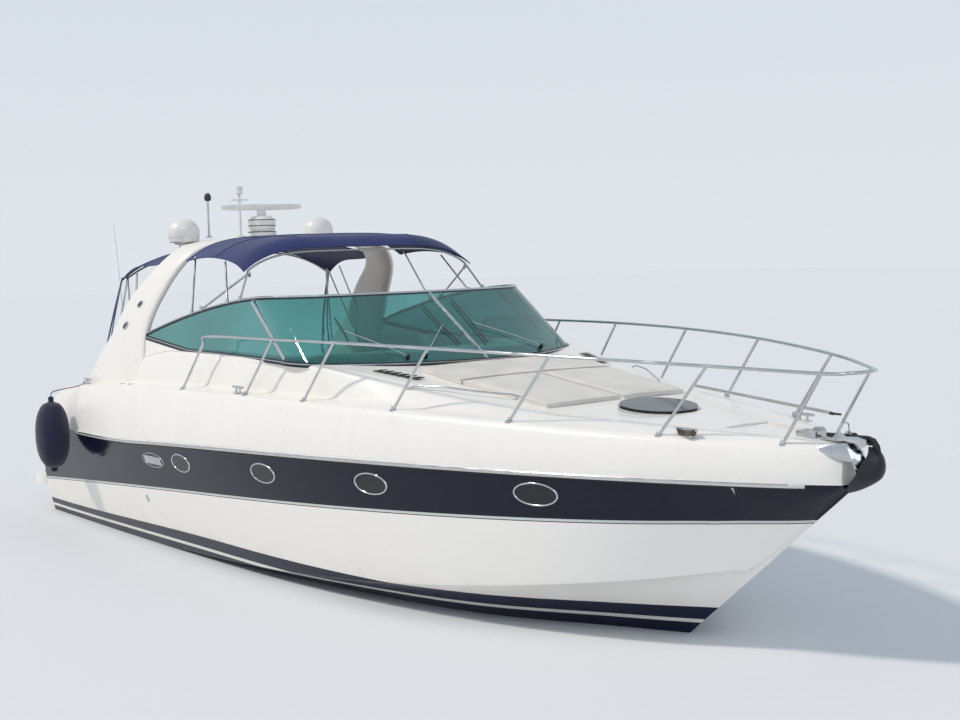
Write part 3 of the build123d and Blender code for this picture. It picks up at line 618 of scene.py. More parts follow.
def deck_gelcoat(colours):
    """Warm white gelcoat of the deck: satin from sun and salt, with faint rain marks and scuffs."""
    mat, tree, shader, place = principled("weathered_deck_gelcoat", colours.gelcoat, 0.3, Coat_Weight=0.15)
    stretched = node(tree, "Mapping", {0: place, 3: (1.0, 1.0, 0.18)}).outputs[0]
    runs = speckle(tree, stretched, 0.12, 5.0, 0.52, 0.82)
    haze = speckle(tree, place, 0.8, 3.0, 0.35, 0.7)
    base = blend_colour(tree, maths(tree, "MULTIPLY", haze, 0.35), colours.gelcoat, linear("#e8e4db"))
    base = blend_colour(tree, maths(tree, "MULTIPLY", runs, 0.08), base, linear("#a9a392"))
    tree.links.new(base, shader.inputs["Base Color"])
    vary(tree, shader, haze, 0.22, 0.42)
    dent(tree, shader, speckle(tree, place, 0.5, 1.0, 0.2, 0.8), 0.002)
    return mat


def acrylic_canvas(colours, sizes):
    """Solution-dyed acrylic canvas, plain woven: matt, faded on top, threads crossing at the pitch."""
    mat, tree, shader, place = principled("woven_acrylic_canvas", colours.canvas, 0.85, Sheen_Weight=0.25,
                                          Sheen_Roughness=0.4)
    pitch = {"Vector": place, "Scale": WAVE_OF_ONE / sizes.weave}
    warp = node(tree, "TexWave", pitch, bands_direction="X").outputs["Fac"]
    weft = node(tree, "TexWave", pitch, bands_direction="Y").outputs["Fac"]
    threads = maths(tree, "MAXIMUM", warp, weft)
    fade = speckle(tree, place, 0.5, 3.0, 0.35, 0.7)
    light = tuple(min(c * 1.5 + 0.004, 1.0) for c in colours.canvas[:3]) + (1.0,)
    base = blend_colour(tree, maths(tree, "MULTIPLY", fade, 0.6), colours.canvas, light)
    dark = blend_colour(tree, 0.35, base, (0.003, 0.004, 0.012, 1.0))
    tree.links.new(blend_colour(tree, threads, dark, base), shader.inputs["Base Color"])
    dent(tree, shader, threads, 0.0006)
    return mat


def marine_vinyl(name, colour, sizes):
    """Expanded marine vinyl on foam: pebbled grain, soft sheen, a little darker in random patches."""
    mat, tree, shader, place = principled(name, colour, 0.48, Sheen_Weight=0.05)
    pebble = node(tree, "TexVoronoi", {"Vector": place, "Scale": 1 / sizes.grain}, feature="SMOOTH_F1")
    worn = speckle(tree, place, 0.3, 3.0, 0.35, 0.7)
    tree.links.new(blend_colour(tree, worn, scaled(colour, 0.86), colour), shader.inputs["Base Color"])
    vary(tree, shader, worn, 0.38, 0.6)
    dent(tree, shader, pebble.outputs["Distance"], 0.0005)
    return mat


def laid_teak(colours, sizes):
    """Oiled teak laid fore and aft in black caulking: straight grain, boards of slightly different tone."""
    mat, tree, shader, place = principled("oiled_teak_planks", colours.teak, 0.5)
    axis = node(tree, "SeparateXYZ", {0: place})
    board = maths(tree, "DIVIDE", axis.outputs[1], sizes.plank)
    index = maths(tree, "FLOOR", board)
    across = maths(tree, "FRACT", board)
    seam = maths(tree, "LESS_THAN", across, 0.11)
    tone = node(tree, "TexWhiteNoise", {1: index}, noise_dimensions="1D").outputs["Value"]
    grain_place = node(tree, "Mapping", {0: place, 3: (1.5, 60.0, 60.0)}).outputs[0]
    grain = node(tree, "TexNoise", {"Vector": grain_place, "Scale": 4.0, "Detail": 6.0}).outputs["Fac"]
    base = blend_colour(tree, grain, scaled(colours.teak, 0.6), scaled(colours.teak, 1.35))
    base = blend_colour(tree, maths(tree, "MULTIPLY", tone, 0.35), base, linear("#6d4a2c"))
    base = blend_colour(tree, seam, base, linear("#15130f"))
    tree.links.new(base, shader.inputs["Base Color"])
    height = maths(tree, "SUBTRACT", grain, seam)
    dent(tree, shader, height, 0.0012)
    return mat


def tinted_glass(colours):
    """Toughened glass, 8 mm, tinted in the mass: teal where two faces add up, mirror clean outside."""
    mat, tree, shader, place = principled("tinted_toughened_glass", colours.glass, 0.02, IOR=1.5,
                                          Transmission_Weight=0.92)
    salt = speckle(tree, place, 0.02, 4.0, 0.5, 0.75)
    vary(tree, shader, salt, 0.005, 0.05)
    shade = speckle(tree, place, 1.2, 1.0, 0.3, 0.7)
    base = blend_colour(tree, shade, scaled(colours.glass, 0.72), colours.glass)
    tree.links.new(base, shader.inputs["Base Color"])
    return mat


def make_materials(colours, sizes):
    steel = linear("#c9cacc")
    return {
        "hull": hull_gelcoat(colours, sizes),
        "deck": deck_gelcoat(colours),
        "canvas": acrylic_canvas(colours, sizes),
        "sunpad": marine_vinyl("beige_marine_vinyl", colours.sunpad, sizes),
        "cushion": marine_vinyl("cream_marine_vinyl", colours.upholstery, sizes),
        "teak": laid_teak(colours, sizes),
        "glass": tinted_glass(colours),
        # Polished 316 stainless: bright, with faint swirl from the buffing wheel
        "steel": moulded("polished_stainless_steel", steel, 0.2, 0.08, 0.004, 0.00004, 0.1, 1.0),
        # White ABS, injection moulded: even, slightly chalky from the sun
        "abs": moulded("white_moulded_abs", linear("#e4e3df"), 0.45, 0.32, 0.003, 0.0001, 0.07),
        # Black nylon and rubber fittings: dull and dark grey where worn
        "black": moulded("black_moulded_nylon", linear("#17181b"), 0.6, 0.42, 0.003, 0.0002, 0.3),
        # Smoked cast acrylic: glossy and almost black
        "acrylic": moulded("smoked_cast_acrylic", linear("#10151a"), 0.1, 0.04, 0.02, 0.00005, 0.2),
        # PVC rub rail: satin, greyer than the gelcoat
        "rub": moulded("extruded_pvc_rub_rail", linear("#d9d8d4"), 0.42, 0.3, 0.006, 0.0002, 0.06),
        # Navy knitted polyester over a fender: dull, fuzzy and darker in random patches
        "knit": moulded("knitted_fender_cover", colours.fender, 0.9, 0.8, 0.006, 0.0012, 0.35,
                        Sheen_Weight=0.3),
        # Manganese bronze, cast and ground: warm, with darker pits
        "bronze": moulded("cast_manganese_bronze", linear("#a8804a"), 0.42, 0.26, 0.006, 0.0003, 0.25, 1.0),
        # Hot-dip galvanised steel under a dark weathered coat: mottled and dull
        "galvanised": moulded("weathered_galvanised_steel", linear("#3a3d42"), 0.55, 0.4, 0.01, 0.0004,
                              0.35, 0.6),
        # Anodised aluminium tube: pale grey with a soft shine
        "aluminium": moulded("anodised_aluminium_tube", linear("#c3c3bf"), 0.38, 0.28, 0.003, 0.00004,
                             0.06, 1.0),
        # Windscreen extrusion: its dark bronze grey is a painted reflection, standing for the dark sea
        # mirrored in the polished steel frame; satin with fine draw marks
        "extrusion": moulded("extrusion_dark_painted_reflection", linear("#33373d"), 0.42, 0.3, 0.004, 0.00006,
                             0.15, 0.8),
        # Engine enamel, brushed on: semi-gloss grey green
        "engine": moulded("brushed_engine_enamel", linear("#6d8a76"), 0.4, 0.28, 0.01, 0.0003, 0.15),
        # Stitched leather: fine pores, soft shine
        "leather": moulded("stitched_black_leather", linear("#1b1a1a"), 0.5, 0.36, 0.003, 0.0004, 0.2),
        # Laid polyester rope, sun-bleached: matt and slightly dirty
        "rope": moulded("laid_polyester_rope", linear("#6e665a"), 0.9, 0.8, 0.004, 0.002, 0.4),
        # Instrument glass over a black dial
        "dial": moulded("instrument_dial_glass", linear("#0c0e12"), 0.12, 0.05, 0.01, 0.00003, 0.3),
    }


FINISH = {
    # material key: nodes of the frame that keep their own shape
    "teak": ["cockpit_sole", "engine_hatch"],
    "engine": ["engine_port", "engine_starboard"],
    "deck": ["helm_seat", "cockpit_seat", "helm_console", "transom_gate", "anchor_locker_lid",
             "swim_platform", "cockpit_table"],
    "glass": ["windscreen_glass"],
    "abs": ["radar_pedestal", "light_mast"],
    "acrylic": ["foredeck_hatch", "companionway_door", "port_panes"],
    "steel": ["hatch_frame", "windlass", "mooring_cleats", "shaft_port",
              "shaft_starboard", "trim_tabs"],
    "bronze": ["propeller_port", "propeller_starboard", "rudder_port", "rudder_starboard", "shaft_brackets"],
}
MATERIALS = {}


def settings():
    scene = bpy.context.scene
    return scene.cruiser_colours, scene.cruiser_sizes


def done():
    return {"FINISHED"}


class CRUISER_OT_finishes(bpy.types.Operator):
    """Make the finishes and give them to the pieces that keep the frame's own shape"""

    bl_idname = "cruiser.finishes"
    bl_label = "Finishes"

    def execute(self, context):
        MATERIALS.update(make_materials(*settings()))
        for key, names in FINISH.items():
            for name in names:
                data = NODES[name].data
                data.materials.clear()
                data.materials.append(MATERIALS[key])
        return done()


def arc_through(a, b, c, steps):
    """Points of the circle arc from a through b to c."""
    (ax, ay), (bx, by), (cx, cy) = a, b, c
    d = 2 * (ax * (by - cy) + bx * (cy - ay) + cx * (ay - by))
    sa, sb, sc = (px * px + py * py for px, py in (a, b, c))
    ux = (sa * (by - cy) + sb * (cy - ay) + sc * (ay - by)) / d
    uy = (sa * (cx - bx) + sb * (ax - cx) + sc * (bx - ax)) / d
    first, mid, last = (math.atan2(p[1] - uy, p[0] - ux) for p in (a, b, c))
    turn = 2 * math.pi
    sweep = (last - first) % turn
    if (mid - first) % turn > sweep:
        sweep -= turn
    radius = math.hypot(ax - ux, ay - uy)
    turns = [first + sweep * k / steps for k in range(steps + 1)]
    return [(ux + radius * math.cos(t), uy + radius * math.sin(t)) for t in turns]


def cutter_box(x0, x1, y0, y1, z0, z1):
    """Square-cornered cutter."""
    return mesh_object("cut", box_points((x0, y0, z0), (x1, y1, z1)), BOX_FACES)


def rounded_well(x0, x1, y, z0, z1, radius, steps=8):
    """Cutter with rounded upright corners, from side to side."""
    outline = []
    for cx, cy, start in ((x1 - radius, y - radius, 0), (x0 + radius, y - radius, 90),
                          (x0 + radius, radius - y, 180), (x1 - radius, radius - y, 270)):
        for k in range(steps + 1):
            a = math.radians(start + 90 * k / steps)
            outline.append((cx + radius * math.cos(a), cy + radius * math.sin(a)))
    return plate("cut", outline, z1 - z0, Matrix.Translation((0, 0, z0)), None)


def transom_cutter():
    curve = arc_through(*TRANSOM_CURVE, 28)
    outline = [(-4.56, 2.6)] + curve + [(-6.6, 0.46), (-6.6, 2.6)]
    rings = [[(x, y, z) for x, z in outline] for y in (-2.6, 2.6)]
    return skin("cut", rings)


def well_cutters():
    """Cockpit, passage through the transom and companionway niche with its steps."""
    return [
        transom_cutter(),
        rounded_well(COCKPIT_AFT, COCKPIT_FORE, COCKPIT_HALF, SOLE, CLEAR_OF_SHELLS, COCKPIT_CORNER),
        cutter_box(-5.4, -4.65, *PASSAGE, SOLE, CLEAR_OF_SHELLS),
        cutter_box(-6.2, -5.39, *PASSAGE, PASSAGE_STEP, CLEAR_OF_SHELLS),
    ] + [cutter_box(x, COMPANIONWAY_END, *COMPANIONWAY, low, high) for x, low, high in COMPANIONWAY_STEPS]


def stations():
    span = RAIL_END - STERN
    return [STERN + span * math.sin(math.pi / 2 * k / STATIONS) for k in range(STATIONS + 1)]


def shell(name, half_section, material):
    rings = []
    for x in stations():
        half = half_section(x)
        rings.append([(x, -y, z) for y, z in half] + [(x, y, z) for y, z in reversed(half) if y > 1e-6])
    return skin(name, rings, material)


class CRUISER_OT_shells(bpy.types.Operator):
    """Mould the hull and the deck as two smooth shells and cut their wells"""

    bl_idname = "cruiser.shells"
    bl_label = "Hull and deck"

    def execute(self, context):
        hull = shell("hull_shell", hull_half, MATERIALS["hull"])
        bay = rounded_well(ENGINE_BAY_AFT, ENGINE_BAY_FORE, ENGINE_BAY_HALF, ENGINE_BAY_FLOOR,
                           SOLE + 0.01, 0.08)
        carve(hull, well_cutters() + [bay])
        hull.data.materials.append(MATERIALS["deck"])
        for face in hull.data.polygons:
            x, y, z = face.center
            if -5.97 < x and z > chine_height(x) + 0.02 and abs(y) < side_half(x, z) - 0.04:
                face.material_index = 1
        smooth(hull.data, 32)
        settle(hull, "boat", "hull_gelcoat", "hull")
        deck = shell("deck_shell", deck_half_section, MATERIALS["deck"])
        low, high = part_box("hatch_frame")
        middle = (low + high) / 2
        slope = math.atan2(crown_height(4.18) - crown_height(3.58), 0.6)
        tilt = Matrix.Translation((middle.x, 0, crown_height(middle.x) - 0.03))
        tilt = tilt @ Matrix.Rotation(-slope, 4, "Y")
        well = plate("cut", ellipse(*HATCH_WELL), 0.3, tilt, None)
        low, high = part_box("anchor_locker_lid")
        locker = cutter_box(low.x - LOCKER_GAP, high.x + LOCKER_GAP, low.y - LOCKER_GAP, high.y + LOCKER_GAP,
                            low.z - 0.001, 2.2)
        carve(deck, well_cutters() + [well, locker])
        smooth(deck.data, 32)
        settle(deck, "boat", "white_gelcoat", "deck_moulding")
        return done()


def beside_rail(x, side, out, z):
    """Point beside the rail's plan curve, moved square off it by out."""
    slope = (rail_half(x + 0.01) - rail_half(x - 0.01)) / 0.02
    size = math.hypot(slope, 1)
    return (x - out * slope / size, side * (rail_half(x) + out / size), z)


def strip(name, profile, x0, x1, material, side, fade, steps=110):
    """Moulding along the rail line. Profile rows are distance outboard and height."""
    rings = []
    for k in range(steps + 1):
        s = k / steps
        x = x0 + (x1 - x0) * s
        ends = min(1.0, min(s, 1 - s) / fade) ** 0.5
        ring = []
        for out, up in profile:
            reach = out * ends if out > 0 else out
            ring.append(beside_rail(x, side, reach, rail_height(x) + up))
        rings.append(ring)
    return skin(name, rings, material, crease=50)


RUB_PROFILE = [
    # distance outboard and height, as in the profiles below
    (-0.03, -0.028), (0.006, -0.028), (0.018, -0.022), (0.024, -0.012), (0.026, 0.0), (0.022, 0.010),
    (0.010, 0.018), (0.004, 0.026), (-0.03, 0.028),
]
INSERT_PROFILE = [(0.018, -0.008), (0.026, -0.009), (0.031, -0.004), (0.031, 0.002), (0.026, 0.007),
                  (0.018, 0.006)]
# Black strip under the rail: a painted shadow line, standing for the shade under the rail's overhang
UNDER_RAIL_SHADOW_PROFILE = [(-0.02, -0.040), (0.003, -0.040), (0.003, -0.030), (-0.02, -0.030)]


class CRUISER_OT_rub_rail(bpy.types.Operator):
    """Run the rub rail with its steel insert round both sides, and a black strip under it as a painted shadow
    line along the joint
    """

    bl_idname = "cruiser.rub_rail"
    bl_label = "Rub rail"

    def execute(self, context):
        def both_sides(name, profile, x0, x1, key, fade):
            sides = [strip("strip", profile, x0, x1, MATERIALS[key], side, fade) for side in (-1, 1)]
            return merge(name, sides)

        rail = both_sides("rub_rail_extrusion", RUB_PROFILE, RUB_AFT, RUB_FORE, "rub", 0.004)
        settle(rail, "boat", "rub_rail_vinyl", "rub_rail")
        insert = both_sides("rub_rail_insert", INSERT_PROFILE, RUB_AFT + 0.05, RUB_FORE - 0.02, "steel",
                            0.004)
        settle(insert, "boat", "polished_stainless")
        # Black strip just below the rail, painted in as the rail's shadow line
        seam = both_sides("rub_rail_painted_shadow_line", UNDER_RAIL_SHADOW_PROFILE, RUB_AFT, RUB_FORE, "black", 0.05)
        settle(seam, "boat", "dark_fitting")
        return done()


PORTS = [(-1.423, 1.096), (0.326, 1.166), (1.967, 1.220), (3.727, 1.272)]
PORT_HALF = (0.215, 0.106)
QUARTER_VENT, VENT_HALF, SLAT_PITCH = (-2.149, 1.057), (0.27, 0.085), 0.085
OUTLET, OUTLET_HALF = (-2.606, 0.566), (0.03, 0.045)


class CRUISER_OT_ports(bpy.types.Operator):
    """Set a rolled steel rim round each oval port, and the fittings of the topside"""

    bl_idname = "cruiser.ports"
    bl_label = "Ports"

    def execute(self, context):
        rims, others = [], []
        for x, z in PORTS:
            for side in (-1, 1):
                plane = plane_on_side(x, z, side)
                rims.append(oval_rim(plane, *PORT_HALF, 0.018, 0.013))
        rim = merge("port_rims_rolled", rims)
        settle(rim, "boat", "polished_stainless", "port_rims")
        for side in (-1, 1):
            plane = plane_on_side(*QUARTER_VENT, side)
            others.append(oval_rim(plane, *VENT_HALF, 0.010, 0.006))
            for k in range(-2, 3):
                at = k * SLAT_PITCH
                slat = [(at - 0.03, -0.045), (at + 0.05, -0.045), (at + 0.03, 0.045), (at - 0.05, 0.045)]
                others.append(plate("slat", slat, 0.006, plane, MATERIALS["steel"]))
            others.append(oval_rim(plane_on_side(*OUTLET, side), *OUTLET_HALF, 0.014, 0.01))
        vents = merge("topside_vents_and_outlets", others)
        settle(vents, "boat", "polished_stainless")
        return done()


def oval_rim(plane, a, b, width, height):
    """Rolled oval rim on a plane: an outer flange that rises to a rounded lip."""
    profile = [(1.0, 0.0), (1.0, 0.35), (0.75, 0.85), (0.4, 1.0), (0.12, 0.8), (0.0, 0.3), (0.0, -0.3)]
    rings = []
    for share, up in profile:
        rings.append([plane @ Vector((x, y, up * height))
                      for x, y in ellipse(a - width + width * share, b - width + width * share)])
    return skin("rim", rings, MATERIALS["steel"], caps=False, crease=60)


class CRUISER_OT_stem_plate(bpy.types.Operator):
    """Wrap the polished plate round the stem head"""

    bl_idname = "cruiser.stem_plate"
    bl_label = "Stem plate"

    def execute(self, context):
        plates = []
        for side in (-1, 1):
            rings = [[(x, side * y, z) for x, y, z in line] for line in PROW_LINES]
            plates.append(skin("prow", rings, MATERIALS["steel"], closed=False, crease=18))
        obj = merge("stem_plate_polished", plates)
        mod = obj.modifiers.new("gauge", "SOLIDIFY")
        mod.thickness, mod.offset = 0.006, -1.0
        apply_modifiers(obj)
        bevel(obj, 0.002, 2, 30)
        settle(obj, "boat", "polished_stainless", "stem_plate")
        return done()


PROW_LINES = [
    # lines down the plate, from its wing on the deck edge to the fold on the centreline
    [(5.700, 0.205, 1.712), (5.702, 0.207, 1.708), (5.704, 0.209, 1.704), (5.706, 0.210, 1.700),
     (5.708, 0.211, 1.696)],
    [(5.830, 0.125, 1.757), (5.836, 0.132, 1.735), (5.842, 0.136, 1.710), (5.846, 0.138, 1.682),
     (5.850, 0.136, 1.652)],
    [(5.955, 0.070, 1.768), (5.975, 0.078, 1.735), (5.995, 0.080, 1.695), (6.008, 0.078, 1.655),
     (6.014, 0.072, 1.630)],
    [(5.965, 0.052, 1.767), (6.000, 0.058, 1.715), (6.022, 0.056, 1.660), (6.036, 0.042, 1.575),
     (6.030, 0.014, 1.485)],
    [(5.990, 0.000, 1.762), (6.058, 0.000, 1.690), (6.100, 0.000, 1.625), (6.110, 0.000, 1.566),
     (6.036, 0.000, 1.474)],
]


class CRUISER_OT_ground_tackle(bpy.types.Operator):
    """Mount the bow roller, and stow the anchor under it against the stem"""

    bl_idname = "cruiser.ground_tackle"
    bl_label = "Anchor and roller"

    def execute(self, context):
        steel, black, iron = MATERIALS["steel"], MATERIALS["black"], MATERIALS["galvanised"]
        cheek = [(5.70, 1.772), (6.02, 1.772), (6.10, 1.745), (6.135, 1.765), (6.13, 1.805), (6.05, 1.822),
                 (5.95, 1.815), (5.90, 1.84), (5.86, 1.84), (5.82, 1.80), (5.70, 1.786)]
        parts = []
        for y in (-0.056, 0.050):
            rings = [[(x, y + w, z) for x, z in cheek] for w in (0, 0.006)]
            parts.append(skin("cheek", rings, steel, crease=30))
        bed = box_points((5.68, -0.055, 1.772), (6.04, 0.055, 1.779))
        parts.append(mesh_object("bed", bed, BOX_FACES, steel))
        roller = merge("bow_roller_cheeks", parts)
        bevel(roller, 0.0015, 2)
        settle(roller, "boat", "polished_stainless", "bow_roller")
        bail = [(5.885, -0.053, 1.82), (5.885, -0.05, 1.885), (5.885, -0.03, 1.905), (5.885, 0.03, 1.905),
                (5.885, 0.05, 1.885), (5.885, 0.053, 1.82)]
        pins = [[(6.09, -0.06, 1.785), (6.09, 0.06, 1.785)], [(5.95, -0.06, 1.80), (5.95, 0.06, 1.80)]]
        tubes("bow_roller_bail", [smooth_path(bail, 5)] + pins, 0.012, steel, slot="polished_stainless")
        wheel = [(0.012, -0.042), (0.034, -0.042), (0.036, -0.036), (0.024, -0.006), (0.024, 0.006),
                 (0.036, 0.036), (0.034, 0.042), (0.012, 0.042)]
        wheels = [turned("wheel", wheel, (x, 0, z), black, axis=(0, 1, 0), steps=32)
                  for x, z in ((6.09, 1.785), (5.95, 1.800))]
        settle(merge("bow_roller_wheels", wheels), "boat", "dark_fitting")
        spine = smooth_path([(6.150, 0, 1.752), (6.215, 0, 1.700), (6.236, 0, 1.640), (6.232, 0, 1.575),
                             (6.200, 0, 1.515), (6.120, 0, 1.462), (6.020, 0, 1.415), (5.930, 0, 1.385)], 4)
        widths = [0.028, 0.075, 0.115, 0.145, 0.150, 0.125, 0.075, 0.012]
        count = len(spine)
        rings = []
        for k, at in enumerate(spine):
            share = k / (count - 1) * (len(widths) - 1)
            i = min(int(share), len(widths) - 2)
            wide = widths[i] + (widths[i + 1] - widths[i]) * (share - i)
            ring = []
            for j in range(17):
                v = -1 + 2 * j / 16
                ring.append((at.x - 0.75 * wide * v * v, wide * v, at.z + 0.10 * wide * v * v))
            rings.append(ring)
        fluke = skin("anchor_fluke", rings, iron, closed=False, crease=50)
        mod = fluke.modifiers.new("gauge", "SOLIDIFY")
        mod.thickness, mod.offset = 0.014, -1.0
        apply_modifiers(fluke)
        bevel(fluke, 0.003, 2, 50)
        shank = [(5.72, 1.822), (6.10, 1.826), (6.165, 1.812), (6.205, 1.765), (6.222, 1.69), (6.195, 1.67),
                 (6.17, 1.72), (6.145, 1.772), (6.09, 1.795), (5.72, 1.792)]
        bar = skin("anchor_shank", [[(x, y, z) for x, z in shank] for y in (-0.011, 0.011)], iron, crease=30)
        bevel(bar, 0.003, 2)
        settle(merge("anchor_stowed", [fluke, bar]), "boat", "galvanised_steel", "anchor")
        return done()


def canopy(name, x_aft, x_fore, half_at, edge_at, crown_at, power_at, rows=36, columns=64):
    """One curved cloth over its bows: rows run from aft to fore, columns from side to side."""
    rings = []
    for i in range(rows + 1):
        u = i / rows
        ring = []
        for j in range(columns + 1):
            v = -1 + 2 * j / columns
            edge, crown, half = edge_at(u), crown_at(u), half_at(u)
            lift = (crown - edge) * (1 - abs(v) ** power_at(u))
            x = x_aft + (x_fore - x_aft) * u
            ripple = 0.004 * noise.noise(Vector((u * 3.0, v * 4.0, 1.7)))
            ripple += 0.006 * math.sin(9 * u + 5 * v * v) * abs(v) ** 4
            sag = -0.016 * math.sin(math.pi * ((u * 2) % 1.0)) * (1 - v * v)
            ring.append((x, half * v, edge + lift + ripple + sag))
        rings.append(ring)
    obj = skin(name, rings, MATERIALS["canvas"], closed=False)
    hems = [[ring[0] for ring in rings], [ring[-1] for ring in rings], rings[0], rings[-1]]
    return obj, hems, rings


def run_length(path):
    return sum((Vector(b) - Vector(a)).length for a, b in zip(path, path[1:]))


class CRUISER_OT_canopies(bpy.types.Operator):
    """Cut and stretch the two canvas canopies over their bows, with hems, seams and straps"""

    bl_idname = "cruiser.canopies"
    bl_label = "Canopies"

    def execute(self, context):
        cloths = {
            "canopy_front": dict(
                x_aft=-2.20, x_fore=-0.79,
                half_at=lambda u: 1.42 + 0.03 * u - 0.02 * math.sin(math.pi * u),
                edge_at=lambda u: 3.10 + 0.165 * (1 - u ** 5) - 0.03 * (1 - u) ** 4,
                crown_at=lambda u: 3.49 - 0.04 * max(u - 0.3, 0) ** 2 - 5.8 * max(u - 0.85, 0) ** 2,
                power_at=lambda u: 4.2 + 1.0 * u ** 2,
            ),
            "canopy_aft": dict(
                x_aft=-3.97, x_fore=-2.82,
                half_at=lambda u: 1.45 - 0.02 * u - 0.02 * math.sin(math.pi * u),
                edge_at=lambda u: 3.01 + 0.185 * (1 - (1 - u) ** 4),
                crown_at=lambda u: 3.33 + 0.13 * u - 0.06 * u * u,
                power_at=lambda u: 3.6,
            ),
        }
        for name, how in cloths.items():
            obj, hems, rings = canopy(name + "_cloth", **how)
            edge = tubes(name + "_hem", hems, 0.012, MATERIALS["canvas"], slot="navy_canvas")
            middle = len(rings) // 2
            seams = [[Vector(p) + Vector((0, 0, 0.003)) for p in rings[middle]],
                     [Vector(r[16]) + Vector((0, 0, 0.003)) for r in rings],
                     [Vector(r[-17]) + Vector((0, 0, 0.003)) for r in rings]]
            sewn = tubes(name + "_seams", seams, 0.007, MATERIALS["canvas"], slot="navy_canvas")
            settle(obj, "boat", "navy_canvas", name)
            flat = (run_length(rings[middle]), run_length([r[len(r) // 2] for r in rings]))
        straps = []
        for side in (-1, 1):
            for drop, wide in (((-4.47, side * 1.56, 1.83), 0.045), ((-4.28, side * 1.57, 1.90), 0.03)):
                straps.append(webbing((-3.965, side * 1.44, 3.05), drop, wide))
        settle(merge("canopy_straps", straps), "boat", "navy_canvas")
        return done()


def webbing(a, b, width):
    """Flat strap that hangs from a to b with a slight bow."""
    a, b = Vector(a), Vector(b)
    side = Vector((width / 2, 0, 0))
    rings = []
    for k in range(13):
        t = k / 12
        p = a.lerp(b, t) + Vector((-0.05, 0, -0.02)) * math.sin(math.pi * t)
        rings.append([p - side, p + side, p + side + Vector((0, 0.004, 0)), p - side + Vector((0, 0.004, 0))])
    return skin("strap", rings, MATERIALS["canvas"])


def hoop(x, half, edge, crown, power, foot, steps=40):
    """Canopy bow: up from its foot, under the cloth and down to the other foot."""
    path = [(foot[0], -foot[1], foot[2])]
    for k in range(steps + 1):
        v = -0.97 + 1.94 * k / steps
        path.append((x, half * v, edge + (crown - edge) * (1 - abs(v) ** power)))
    path.append((foot[0], foot[1], foot[2]))
    return path


# Station, half-breadth and height of the fittings at the ends of bows and struts
BOW_ENDS = [(-0.80, 1.385, 3.075), (-3.93, 1.385, 3.055), (-0.70, 1.55, 2.83), (-1.58, 1.568, 2.71),
            (-1.80, 1.573, 2.672), (-0.98, 1.556, 2.80)]


class CRUISER_OT_canopy_frame(bpy.types.Operator):
    """Bend the canopy bows and cut the struts that brace them"""

    bl_idname = "cruiser.canopy_frame"
    bl_label = "Canopy bows"

    def execute(self, context):
        _, sizes = settings()
        bows = [
            hoop(-0.81, 1.43, 3.085, 3.30, 5.2, (-0.70, 1.55, 2.828)),
            hoop(-3.94, 1.43, 3.00, 3.305, 3.6, (-4.15, 1.56, 1.86)),
        ]
        struts = [
            # foot x, half-breadth, height, then head x, half-breadth, height
            (-1.58, 1.568, 2.706, -0.83, 1.40, 3.07),
            (-1.80, 1.573, 2.668, -2.06, 1.38, 3.27),
            (-0.98, 1.556, 2.795, -1.30, 1.40, 3.21),
            (-3.45, 1.56, 2.08, -3.90, 1.40, 3.05),
            (-3.62, 1.40, 3.10, -3.36, 1.58, 2.30),
        ]
        paths = list(bows)
        for x0, y0, z0, x1, y1, z1 in struts:
            for side in (-1, 1):
                paths.append([(x0, side * y0, z0), (x1, side * y1, z1)])
        tube = sizes.canopy_tube * 0.9
        frame_piece = tubes("canopy_bows", paths, tube, MATERIALS["steel"], slot="polished_stainless")
        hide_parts("canopy_frame")
        knuckles, profile = [], [(0.010, -0.03), (0.019, -0.02), (0.019, 0.02), (0.010, 0.03)]
        for x, y, z in BOW_ENDS:
            for side in (-1, 1):
                knuckles.append(turned("knuckle", profile, (x, side * y, z), MATERIALS["steel"],
                                       axis=(0.3, side * 0.3, 1), steps=20))
        settle(merge("canopy_bow_ends", knuckles), "boat", "polished_stainless")
        return done()


RAIL_FEET = [-1.45, -0.07, 0.95, 2.19, 3.44, 4.70, 5.54]
RAIL_RISE, RAIL_RAKE = 0.56, 0.47


def rail_foot(x):
    return Vector((x, -(deck_half(x) - 0.045), deck_height(x) + 0.004))


def rail_top(x):
    y = max(deck_half(x) - (0.11 if x < 5 else 0.06), 0.24 if x > 5 else 0)
    return Vector((x + RAIL_RAKE * (1.0 if x < 5 else 0.8), -y, deck_height(x) + RAIL_RISE))


def flipped(p):
    return Vector((p[0], -p[1], p[2]))


class CRUISER_OT_bow_rail(bpy.types.Operator):
    """Bend the bow rail in one sweep round the bow and weld its stanchions and deck flanges"""

    bl_idname = "cruiser.bow_rail"
    bl_label = "Bow rail"

    def execute(self, context):
        _, sizes = settings()
        first = rail_foot(RAIL_FEET[0])
        tops = [rail_top(x) for x in RAIL_FEET]
        elbow = first.lerp(tops[0], 0.86)
        side = [first, first.lerp(tops[0], 0.5), elbow, tops[0] + Vector((0.05, 0.0, 0.012))] + tops[1:]
        nose = [Vector((6.06, -0.13, tops[-1].z)), Vector((6.09, 0, tops[-1].z))]
        half = side + nose
        path = smooth_path(half + [flipped(p) for p in reversed(half[:-1])], 10)
        posts = []
        for x in RAIL_FEET[1:]:
            posts += [[rail_foot(x), rail_top(x)], [flipped(rail_foot(x)), flipped(rail_top(x))]]
        rail = tubes("bow_rail_sweep", [path], sizes.rail_tube, MATERIALS["steel"], slot="polished_stainless")
        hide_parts("bow_rail")
        tube = sizes.rail_tube * 0.88
        tubes("bow_rail_stanchions", posts, tube, MATERIALS["steel"], slot="polished_stainless")
        flanges = []
        profile = [(0.036, -0.004), (0.036, 0.003), (0.030, 0.007), (0.019, 0.010), (0.016, 0.03),
                   (0.0125, 0.034)]
        for x in RAIL_FEET:
            for foot in (rail_foot(x), flipped(rail_foot(x))):
                flanges.append(turned("flange", profile, foot, MATERIALS["steel"], steps=28))
        settle(merge("bow_rail_flanges", flanges), "boat", "polished_stainless")
        return done()


